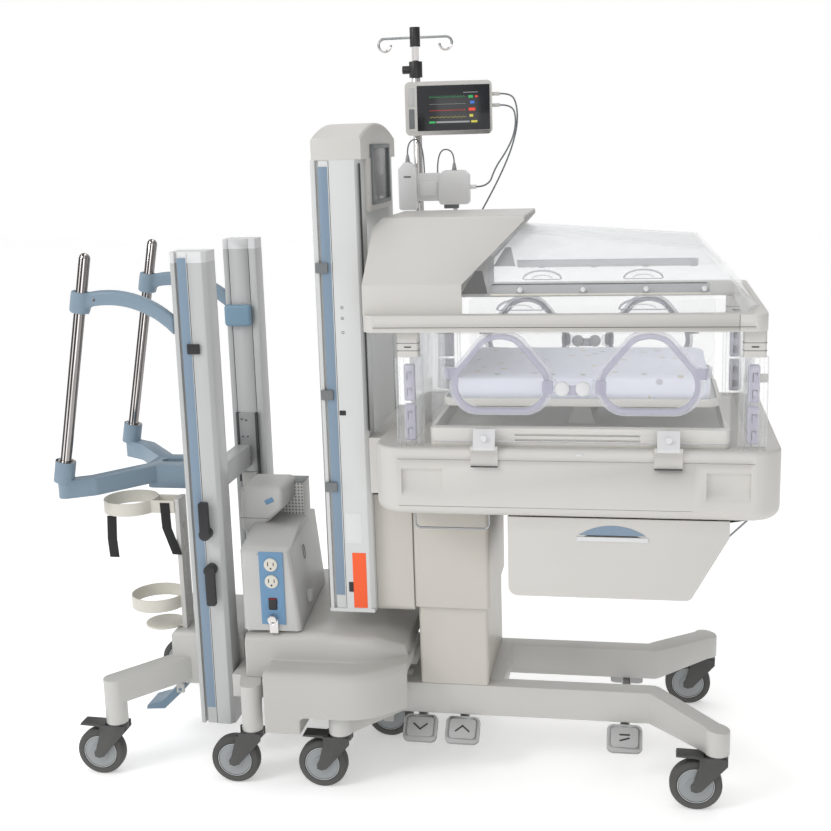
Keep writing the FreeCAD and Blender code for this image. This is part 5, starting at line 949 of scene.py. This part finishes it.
monitor = shown["monitor"]
paint_parts(monitor, clip_grey, lambda a, b: b[2] - a[2] < 0.06 and b[0] - a[0] > 0.03)
front = max((f for f in monitor.data.polygons if f.normal.y < -0.9), key=lambda f: f.area)
facing = front.normal.copy()
facing.z = 0
facing.normalize()
right = Vector((0, 0, 1)).cross(facing)
case = [v.co for v in monitor.data.vertices if v.co.z > 1.7435 or v.co.z < 1.6025]
reach = max(v.co.dot(facing) for v in monitor.data.vertices)
middle = (max(c.dot(right) for c in case) + min(c.dot(right) for c in case)) / 2
turn_z = math.atan2(right.y, right.x)


def on_screen(u, z, out=0.0):
    """A point on the monitor's front, from its middle line, height and distance proud of it."""
    return right * (middle + u) + facing * (reach + out) + Vector((0, 0, z))


def tile(name, u0, u1, z0, z1, out, thick, material, radius):
    """A thin rounded tile on the monitor's front."""
    centre = on_screen((u0 + u1) / 2, (z0 + z1) / 2, out - thick / 2)
    half = ((u1 - u0) / 2, thick / 2, (z1 - z0) / 2)
    return slab(name, centre - Vector(half), centre + Vector(half), material, "bed", radius, 2,
                Quaternion((0, 0, 1), turn_z))


tile("screen_glass", -0.0855, 0.1115, 1.6135, 1.7330, 0.0012, 0.0030, display_black, 0.0011)
tile("monitor_port", -0.1080, -0.0930, 1.6200, 1.6720, 0.0008, 0.0020, clip_grey, 0.0009)
tile("monitor_door", -0.1090, -0.0920, 1.6780, 1.7280, 0.0006, 0.0020, unit_white, 0.0009)
screen_green = glow("screen_green", (0.02, 0.30, 0.08), 0.7)
screen_red = glow("screen_red", (0.55, 0.04, 0.02), 0.8)
screen_yellow = glow("screen_yellow", (0.45, 0.40, 0.05), 0.7)
screen_grey = glow("screen_grey", (0.25, 0.26, 0.27), 0.6)
screen_blue = glow("screen_blue", (0.03, 0.12, 0.42), 0.8)
for name, level, height, beat, count, material in (
    ("pulse", 1.7010, 0.0065, 0.30, 13, screen_green), ("breath", 1.6830, 0.0016, 0.5, 20, screen_grey),
    ("pressure", 1.6660, 0.0040, 0.45, 15, screen_red), ("oxygen", 1.6480, 0.0048, 0.6, 8, screen_yellow),
):
    points = []
    for i in range(count * 6 + 1):
        phase = i % 6 / 6
        rise = height * (1 - abs(phase - beat) / 0.17) if abs(phase - beat) < 0.17 else 0.0
        points.append(on_screen(-0.052 + 0.098 * i / (count * 6), level + rise, 0.0016))
    tube("trace_" + name, points, 0.0004, material, "bed", sides=1)
for name, u0, u1, z0, z1, material in (
    ("green", 0.0540, 0.0660, 1.6980, 1.7050, screen_green),
    ("red_small", 0.0720, 0.0790, 1.6990, 1.7040, screen_red),
    ("blue", 0.0580, 0.0700, 1.6830, 1.6900, screen_blue),
    ("red", 0.0540, 0.0720, 1.6640, 1.6720, screen_red),
    ("yellow", 0.0560, 0.0660, 1.6480, 1.6550, screen_yellow),
    ("top_line", 0.0400, 0.0800, 1.7120, 1.7135, screen_grey),
    ("bar_green", -0.0540, -0.0370, 1.6330, 1.6385, screen_green),
    ("bar_grey", -0.0350, 0.0560, 1.6335, 1.6380, screen_grey),
    ("bar_yellow", 0.0600, 0.0770, 1.6330, 1.6385, screen_yellow),
):
    tile("value_" + name, u0, u1, z0, z1, 0.0017, 0.0010, material, 0.0003)
pole_axis = Vector((-0.0294, 0.3537, 0))


def near_pole(face):
    """Whether a face is on a turned part that sits on the pole."""
    return Vector((face.center.x - pole_axis.x, face.center.y - pole_axis.y, 0)).length < 0.0150


paint(shown["pole_upper"], black, (-1, -1, 1.8375), (1, 1, 1.8895), near_pole)
paint(shown["pole_lower"], black, (-0.0690, 0.33, 1.7565), (-0.0100, 0.38, 1.7995))
relief_grey = surface("relief_grey", (0.30, 0.305, 0.31))
for x, z in ((-0.0544, 1.5225), (0.0746, 1.4975)):
    paint(shown["sensor_modules"], relief_grey, (x - 0.0125, 0.3, z), (x + 0.0125, 0.35, 1.5530))
paint(shown["pole_upper"], wire_steel, (-1, -1, 1.8400), (1, 1, 1.8900), lambda f: not near_pole(f))
slab("module_slot_left", (-0.0640, 0.3106, 1.4900), (-0.0440, 0.3120, 1.4945), clip_grey, "bed", 0.0006)
slab("module_foot_right", (0.0450, 0.3180, 1.4040), (0.0850, 0.3380, 1.4155), clip_grey, "bed", 0.002)

# The clear shell of the canopy: vacuum-formed acrylic on a moulded rim.
# A grey strip with four white push buttons runs along each fold, with two half-moon finger grips
# below it, and painted shade darkens the hood's faces under its slanted edge and the shell beside them.


def half_moon(x, y, z, half_width, rise, step):
    """Points along half an ellipse that stands on its flat side, every so many degrees."""
    turns = [math.radians(a) for a in range(0, 181, step)]
    return [(x + half_width * math.cos(a), y, z + rise * math.sin(a)) for a in turns]


shell_y = {"near": -0.3340, "far": 0.2975}
strip_clear = clear_sheet("strip_clear", (0.36, 0.37, 0.38), 0.60, 0.9)
grip_clear = clear_sheet("grip_clear", (0.40, 0.40, 0.45), 0.55, 0.9)
# Dark grey for the hook wires and the fold lines, and painted shade under the hood's slanted edge.
dark_grey_and_painted_shade = surface("dark_grey_and_painted_shade", (0.10, 0.10, 0.10))
fold_lean = math.atan2(0.168, 0.132)
fold_up, fold_in, fold_z = math.cos(fold_lean), math.sin(fold_lean), 1.2432
for side, y in shell_y.items():
    out = -1 if side == "near" else 1
    for name, w, at, x0, x1, t, material in (
        ("fold_strip", 0.030, 0.0160, 0.2480, 0.7300, 0.0020, strip_clear),
        ("fold_line", 0.0022, 0.0325, 0.2480, 0.7240, 0.0026, dark_grey_and_painted_shade),
        ("fold_foot", 0.0040, 0.0000, 0.2480, 0.7300, 0.0026, ring_white),
    ):
        centre = Vector(((x0 + x1) / 2, y - out * at * fold_in + out * 0.0012, fold_z + at * fold_up))
        half = Vector(((x1 - x0) / 2, t / 2, w / 2))
        slab(f"{name}_{side}", centre - half, centre + half, material, "canopy", 0.0006, 2,
             Quaternion((1, 0, 0), out * fold_lean))
    for i, x in enumerate((0.3149, 0.4549, 0.5925, 0.7180)):
        slab(f"button_foot_{side}_{i}", (x - 0.0085, min(y, y + out * 0.002) + 0.003 * -out, 1.2400),
             (x + 0.0085, max(y, y + out * 0.002) + 0.003 * -out, 1.2500), strip_clear, "canopy", 0.001, 2)
        knob(f"push_button_{side}_{i}", (x, y + out * 0.0005, 1.2540), 1, 0.0056, 0.0080, label_white,
             "canopy", ((0.0018, 0.0008, label_white),), rim=0.0014, sides=28)
    for i, x in enumerate((0.3145, 0.5863)):
        arch = half_moon(x, y + out * 0.0010, 1.2090, 0.052, 0.0235, 12)
        tube(f"finger_grip_{side}_{i}", arch, 0.0026, grip_clear, "canopy", smooth=True)
        inner = half_moon(x, y + out * 0.0010, 1.2100, 0.028, 0.010, 15)
        tube(f"finger_edge_{side}_{i}", inner, 0.0012, label_white, "canopy", smooth=True)
        slab(f"grip_floor_{side}_{i}", (x - 0.050, y - 0.0011, 1.2070), (x + 0.050, y + 0.0011, 1.2095),
             grip_clear, "canopy", 0.0008, 2)
# On each side a dark tapered plate on the shell at the hood's mouth: painted shade under the hood's slanted
# edge.
for side, y in shell_y.items():
    out = -1 if side == "near" else 1
    bpy.ops.object.select_all(action="DESELECT")
    bpy.ops.mesh.primitive_cube_add(size=1, location=(0.2115, y + out * 0.0008, 1.2720))
    shade_plate = bpy.context.active_object
    shade_plate.name = "mouth_painted_shade_" + side
    shade_plate.scale = (0.060, 0.0014, 0.052)
    bpy.ops.object.transform_apply(location=False, rotation=False, scale=True)
    shade_plate.data.materials.append(dark_grey_and_painted_shade)
    for vertex in shade_plate.data.vertices:
        if vertex.co.z > 0:
            vertex.co.x = vertex.co.x * 0.25 + 0.0110
    bpy.ops.object.mode_set(mode="EDIT")
    bpy.ops.mesh.select_all(action="SELECT")
    bpy.ops.mesh.bevel(offset=0.0004, segments=2)
    bpy.ops.object.mode_set(mode="OBJECT")
    settle(shade_plate, "canopy")
hood = shown["canopy_hood"]
# The hood's faces that look down and towards the foot, under its slanted edge, are painted dark: painted
# shade.
paint(hood, dark_grey_and_painted_shade, (0.10, -0.33, 1.20), (0.36, 0.29, 1.409),
      lambda f: f.normal.x > 0.3 and f.normal.z < -0.2)
rim_near, rim_far = -0.3632, 0.3268
for plane, sign in ((rim_near, -1), (rim_far, 1)):
    sink(hood, 1, sign, plane, (-0.066, 0, 1.1725), (0.850, 0, 1.1737), 0.0014, slot_dark)
    sink(hood, 1, sign, plane, (0.7925, 0, 1.1640), (0.7937, 0, 1.2090), 0.0010, slot_dark)

# The corner posts of the bed: clear acrylic posts with moulded tubing hooks under white caps.
post_boxes = {"head": (0.0306, 0.0806), "foot": (0.8036, 0.8536)}
end_sides = {"near": (-0.3402, -0.3112), "far": (0.2748, 0.3038)}
walls = round_edges("end_walls", acrylic, 0.0012)
paint(walls, warm_white, (-1, -1, 1.1021), (1, 1, 1.1620))
paint(walls, warm_white, (0.8312, -0.0300, 0.984), (0.8900, -0.0060, 1.008))
for end, (x0, x1) in post_boxes.items():
    for side, (y0, y1) in end_sides.items():
        tag = f"{end}_{side}"
        mid_x, mid_y = (x0 + x1) / 2, (y0 + y1) / 2
        for i, z in enumerate((0.905, 0.998)):
            slab(f"tube_hook_{tag}_{i}", (mid_x - 0.013, mid_y - 0.010, z),
                 (mid_x + 0.013, mid_y + 0.010, z + 0.086), frosted, "bed", 0.005, 4)
            for j in (0.022, 0.060):
                tube(f"hook_wire_{tag}_{i}_{j}", [
                    (mid_x - 0.003, y0 - 0.0016, z + j - 0.010), (mid_x - 0.003, y0 - 0.0016, z + j + 0.008),
                    (mid_x + 0.006, y0 - 0.0016, z + j + 0.010), (mid_x + 0.006, y0 - 0.0016, z + j + 0.004),
                ], 0.0009, dark_grey_and_painted_shade, "bed", sides=2)
        knob(f"cap_collar_{tag}", (mid_x, mid_y, 1.1300), 2, 0.0142, 0.050, warm_white, "bed", rim=0.002)
        for z in (1.116, 1.1335):
            slab(f"cap_joint_{tag}_{round(z * 1000)}", (x0 - 0.0006, y0 - 0.0006, z),
                 (x1 + 0.0006, y1 + 0.0006, z + 0.0016), clip_grey, "bed", 0.0006, 2)
        slab(f"cap_slot_{tag}", (mid_x - 0.008, y0 - 0.0012, 1.1240), (mid_x + 0.008, y0 + 0.001, 1.1268),
             black, "bed", 0.0006, 2)

# The side doors and their portholes: clear doors hinged at the deck, each with two three-sided ports.
# The port rims are frosted mouldings, white latch buttons sit between them, and the hinge leaves and
# their catch plates are white with a screw boss.
for node in ("canopy_shell", "side_door_near", "side_door_far"):
    round_edges(node, acrylic, 0.0)
for side, planes in (("near", (-0.3584, -0.3538)), ("far", (0.3173, 0.3219))):
    for end in ("head", "foot"):
        port = round_edges(f"porthole_{side}_{end}", frosted, 0.0008)
        paint(port, acrylic, (-1, planes[0], 0), (1, planes[1], 2),
              lambda f: abs(f.normal.y) > 0.9 and f.area > 0.001)
corner_turn, corner_growth, seat_wide, seat_tall = 82, 0.055, 1.075, 1.085
seat_clear = clear_sheet("port_seat", (0.62, 0.62, 0.68), 0.35, 0.85)
for side, low_y, high_y in (("near", -0.3530, -0.3490), ("far", 0.3125, 0.3165)):
    for end, centre_x in (("head", 0.2706), ("foot", 0.6021)):
        port = shown[f"porthole_{side}_{end}"]
        centre = Vector((centre_x, 0, 1.0500))
        for vertex in port.data.vertices:
            out = vertex.co - centre
            out.y = 0
            rise = math.degrees(math.atan2(out.z, abs(out.x)))
            if 0 < rise < corner_turn:
                vertex.co += out * corner_growth * math.sin(math.pi * rise / corner_turn)
        seat = bpy.data.objects.new(f"port_seat_{side}_{end}", port.data.copy())
        bpy.context.collection.objects.link(seat)
        pick(seat, lambda f: f.material_index != 0 or f.calc_center_median().y < -0.3612
             or f.calc_center_median().y > 0.3247)
        bpy.ops.mesh.delete(type="FACE")
        bpy.ops.object.mode_set(mode="OBJECT")
        seat.data.materials.clear()
        seat.data.materials.append(seat_clear)
        ys = [v.co.y for v in seat.data.vertices]
        for vertex in seat.data.vertices:
            vertex.co.x = centre_x + (vertex.co.x - centre_x) * seat_wide
            vertex.co.z = centre.z + (vertex.co.z - centre.z) * seat_tall
            vertex.co.y = low_y + (vertex.co.y - min(ys)) / (max(ys) - min(ys)) * (high_y - low_y)
        settle(seat, "door_" + side)
hinge_xs, leaf_half = (0.2311, 0.6451), 0.0256
port_white = surface("port_white", (0.66, 0.66, 0.67), smooth=0.35, rough=0.5)
for side, y, out in (("near", -0.3602, -1), ("far", 0.3237, 1)):
    body = "door_" + side
    for i, x in enumerate((0.4096, 0.4560)):
        knob(f"latch_button_{side}_{i}", (x, y + out * 0.0040, 1.0345), 1, 0.0165, 0.0080, port_white, body,
             ((0.004, 0.0012, port_white), (0.004, 0.0006, port_white)), rim=0.0028)
    slab(f"latch_saddle_{side}", (0.4180, min(y, y + out * 0.003), 1.0200),
         (0.4476, max(y, y + out * 0.003), 1.0420), frosted, body, 0.0012, 3)
    for x in hinge_xs:
        boss_y = -0.3738 if side == "near" else 0.3373
        knob(f"leaf_boss_{side}_{round(x * 1000)}", (x, boss_y, 0.9200), 1, 0.0075, 0.0018, label_white, body,
             ((0.0012, -0.0004, label_white),), rim=0.0004)
    slab(f"door_foot_line_{side}", (0.1130, y - 0.0006, 0.9085), (0.7760, y + 0.0006, 0.9105), grip_clear,
         body, 0.0005, 2)
for node in ("side_door_near", "side_door_far"):
    paint(shown[node], port_white, (-1, -1, 0.8900), (1, 1, 0.9381),
          lambda f: min(abs(f.center.x - x) for x in hinge_xs) < leaf_half)
paint(shown["bed_fittings"], warm_white, (-1, -1, 0.8530), (1, 1, 0.9020))

# The bed shell and the drawer: a moulded trough with fine seams, and a moulded drawer under it.
# The drawer's foot end slopes and then stands upright, and its grip is a blue lens over a white lip.
seam_grey = surface("seam_grey", (0.30, 0.30, 0.29))
shell = shown["bed_shell"]
shell_near, shell_far = -0.3632, 0.3267
for plane, sign in ((shell_near, -1), (shell_far, 1)):
    sink(shell, 1, sign, plane, (0.010, 0, 0.8660), (0.860, 0, 0.8670), 0.0008, seam_grey)
    sink(shell, 1, sign, plane, (-0.010, 0, 0.7540), (0.700, 0, 0.7550), 0.0008, seam_grey)
    slab(f"trough_clip_{'near' if sign < 0 else 'far'}", (0.4400, min(plane, plane + sign * 0.0016), 0.8790),
         (0.4560, max(plane, plane + sign * 0.0016), 0.8840), label_white, "bed", 0.0008, 2)
# A thin dark strip under each hinge plate, against the shell: painted shadow.
for x in hinge_xs:
    for side, low_y, high_y in (("near", -0.3740, -0.3630), ("far", 0.3266, 0.3376)):
        slab(f"hinge_shadow_{side}_{round(x * 1000)}", (x - 0.0310, low_y, 0.8520), (x + 0.0310, high_y, 0.8541),
             slot_dark, "bed", 0.0004, 2)
runner_x0, runner_x1, runner_top, runner_shift = 0.820, 0.846, 0.7299, 0.076
for vertex in shell.data.vertices:
    if vertex.co.z < runner_top and runner_x0 < vertex.co.x < runner_x1:
        vertex.co.x -= runner_shift
tray = shown["drawer"]
kink_z, end_x, low_x, low_z, rise = 0.690, 0.7835, 0.6986, 0.536, 0.836
cut_across(tray, 2, kink_z)
bpy.ops.object.mode_set(mode="OBJECT")
for vertex in tray.data.vertices:
    if vertex.co.x > 0.62:
        slant_x = low_x + (vertex.co.z - low_z) * rise
        new_x = low_x + (min(vertex.co.z, kink_z) - low_z) * (end_x - low_x) / (kink_z - low_z)
        vertex.co.x -= max(0.0, slant_x - new_x)
lens_x, lens_y, lens_top, lens_low, lens_half, lens_t = 0.5216, -0.3487, 0.7125, 0.6890, 0.0760, 0.0012
lens_r = (lens_half ** 2 + (lens_top - lens_low) ** 2) / (2 * (lens_top - lens_low))
bpy.ops.object.select_all(action="DESELECT")
bpy.ops.mesh.primitive_cylinder_add(
    vertices=160, radius=lens_r, depth=lens_t, location=(lens_x, lens_y, lens_top - lens_r),
    rotation=(math.pi / 2, 0, 0),
)
lens_piece = bpy.context.active_object
lens_piece.name = "drawer_lens"
lens_piece.data.materials.append(strip_blue)
bpy.ops.object.transform_apply(location=True, rotation=True, scale=True)
bpy.ops.object.mode_set(mode="EDIT")
bpy.ops.mesh.select_all(action="SELECT")
bpy.ops.mesh.bisect(plane_co=(0, 0, lens_low), plane_no=(0, 0, 1), clear_inner=True, use_fill=True)
bpy.ops.mesh.select_all(action="SELECT")
bpy.ops.mesh.bevel(offset=0.0003, segments=2)
bpy.ops.object.mode_set(mode="OBJECT")
settle(lens_piece, body_of["drawer"])
slab("drawer_lip", (0.4400, -0.3512, 0.6740), (0.6030, -0.3478, 0.6850), label_white, body_of["drawer"],
     0.0016, 4)

# The foot pedals: grey trays with a lighter rubber pad, marked with a plain arrow for down and up.
slope = math.radians(42.9)
tip = Quaternion((1, 0, 0), slope)
pad_normal = tip @ Vector((0, 0, 1))
for node, marks in (
    ("pedal_down", ((-0.0085, 0.0, -40), (0.0085, 0.0, 40))),
    ("pedal_up", ((-0.0085, 0.0, 40), (0.0085, 0.0, -40))),
    ("pedal_tilt", ((0.0, 0.006, 0), (0.0, -0.006, 18))),
):
    pedal = shown[node]
    body = body_of[node]
    low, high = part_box(node)
    centre = Vector(((low.x + high.x) / 2, -0.2089, 0.1199))
    paint(pedal, pad_grey, (-1, -0.2240, 0), (1, -0.19, 1), lambda f: f.normal.dot(pad_normal) > 0.98)
    side = Vector((0.0330, 0.0215, 0.0009))
    pad = slab(node + "_pad", centre - side, centre + side, pad_grey, body, 0.0008, 2, tip)
    for i, (u, v, angle) in enumerate(marks):
        at = centre + tip @ Vector((u, v, 0.0012))
        bar = Vector((0.0130, 0.0022, 0.0005))
        slab(f"{node}_mark_{i}", at - bar, at + bar, slot_dark, body, 0.0004, 2,
             tip @ Quaternion((0, 0, 1), math.radians(angle)))

# The mattress: a foam pad in a fitted cotton sheet with a faint, scattered pastel print.
# It starts a little smaller than its place in the tray, is puffed up by cloth simulation, and keeps
# the flat base that lies on the tray.
sheet_cloth = bpy.data.materials.new("sheet_cloth")
sheet_cloth.use_nodes = True
nodes = sheet_cloth.node_tree.nodes
link = sheet_cloth.node_tree.links.new
shader = nodes["Principled BSDF"]
shader.inputs["Roughness"].default_value = 0.9
shader.inputs["Sheen Weight"].default_value = 0.25
place = nodes.new("ShaderNodeTexCoord")
motif = nodes.new("ShaderNodeTexVoronoi")
motif.inputs["Scale"].default_value = 26
motif.inputs["Randomness"].default_value = 0.8
blot = nodes.new("ShaderNodeMath")
blot.operation = "LESS_THAN"
blot.inputs[1].default_value = 0.22
hues = nodes.new("ShaderNodeValToRGB")
pastels = (
    (0.0, (0.45, 0.50, 0.70)), (0.3, (0.70, 0.62, 0.30)),
    (0.6, (0.42, 0.55, 0.52)), (1.0, (0.62, 0.50, 0.62)),
)
while len(hues.color_ramp.elements) < len(pastels):
    hues.color_ramp.elements.new(0.5)
for stop, (at, tint) in zip(hues.color_ramp.elements, pastels):
    stop.position = at
    stop.color = (*tint, 1)
faint = nodes.new("ShaderNodeMath")
faint.operation = "MULTIPLY"
faint.inputs[1].default_value = 0.75
ground = nodes.new("ShaderNodeTexNoise")
ground.inputs["Scale"].default_value = 7
base = nodes.new("ShaderNodeMix")
base.data_type = "RGBA"
base.inputs[6].default_value = (0.80, 0.83, 0.95, 1)
base.inputs[7].default_value = (0.86, 0.88, 0.97, 1)
printed = nodes.new("ShaderNodeMix")
printed.data_type = "RGBA"
weave = nodes.new("ShaderNodeTexWave")
weave.inputs["Scale"].default_value = 900
bump = nodes.new("ShaderNodeBump")
bump.inputs["Distance"].default_value = 0.0003
bump.inputs["Strength"].default_value = 0.4
link(place.outputs["Object"], motif.inputs["Vector"])
link(place.outputs["Object"], ground.inputs["Vector"])
link(place.outputs["Object"], weave.inputs["Vector"])
link(motif.outputs["Distance"], blot.inputs[0])
link(motif.outputs["Color"], hues.inputs["Fac"])
link(blot.outputs[0], faint.inputs[0])
link(ground.outputs["Fac"], base.inputs[0])
link(faint.outputs[0], printed.inputs[0])
link(base.outputs[2], printed.inputs[6])
link(hues.outputs["Color"], printed.inputs[7])
link(printed.outputs[2], shader.inputs["Base Color"])
link(weave.outputs["Fac"], bump.inputs["Height"])
link(bump.outputs["Normal"], shader.inputs["Normal"])
pad = bpy.data.objects.new("mattress_pad", frame["nodes"]["mattress"].data.copy())
bpy.context.collection.objects.link(pad)
alone(pad)
pad.data.materials.clear()
pad.data.materials.append(sheet_cloth)
bpy.ops.object.mode_set(mode="EDIT")
bpy.ops.mesh.select_all(action="SELECT")
bpy.ops.mesh.remove_doubles(threshold=0.00002)
bpy.ops.object.mode_set(mode="OBJECT")
pad_low, pad_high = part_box("mattress")
pad_centre = (pad_low + pad_high) / 2
pad_swell, pad_voxel = 0.006, 0.006
start_long, start_wide, start_tall, start_lift = 0.985, 0.980, 0.93, 0.0004
for vertex in pad.data.vertices:
    vertex.co.x = pad_centre.x + (vertex.co.x - pad_centre.x) * start_long
    vertex.co.y = pad_centre.y + (vertex.co.y - pad_centre.y) * start_wide
    vertex.co.z = pad_low.z + (vertex.co.z - pad_low.z) * start_tall + start_lift
remesh = pad.modifiers.new("remesh", "REMESH")
remesh.mode = "VOXEL"
remesh.voxel_size = pad_voxel
bpy.ops.object.modifier_apply(modifier="remesh")
rest_places = [v.co.copy() for v in pad.data.vertices]
cloth = pad.modifiers.new("cloth", "CLOTH")
cloth.settings.use_pressure = True
cloth.settings.uniform_pressure_force = 4
cloth.settings.effector_weights.gravity = 0
cloth.point_cache.frame_start = 1
cloth.point_cache.frame_end = 20
for step in range(1, 21):
    bpy.context.scene.frame_set(step)
bpy.ops.object.modifier_apply(modifier="cloth")
bpy.context.scene.frame_set(1)
for vertex, rest in zip(pad.data.vertices, rest_places):
    move = vertex.co - rest
    if move.length > pad_swell:
        move = move.normalized() * pad_swell
    vertex.co = rest + move
    vertex.co.z = max(vertex.co.z, pad_low.z + 0.0003)
    for k in (0, 1):
        vertex.co[k] = min(max(vertex.co[k], pad_low[k]), pad_high[k])
puff = pad.modifiers.new("puff", "SUBSURF")
puff.levels = 1
puff.render_levels = 1
bpy.ops.object.modifier_apply(modifier="puff")
bpy.ops.object.shade_smooth()
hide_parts("mattress")
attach(pad, body_of["mattress"])
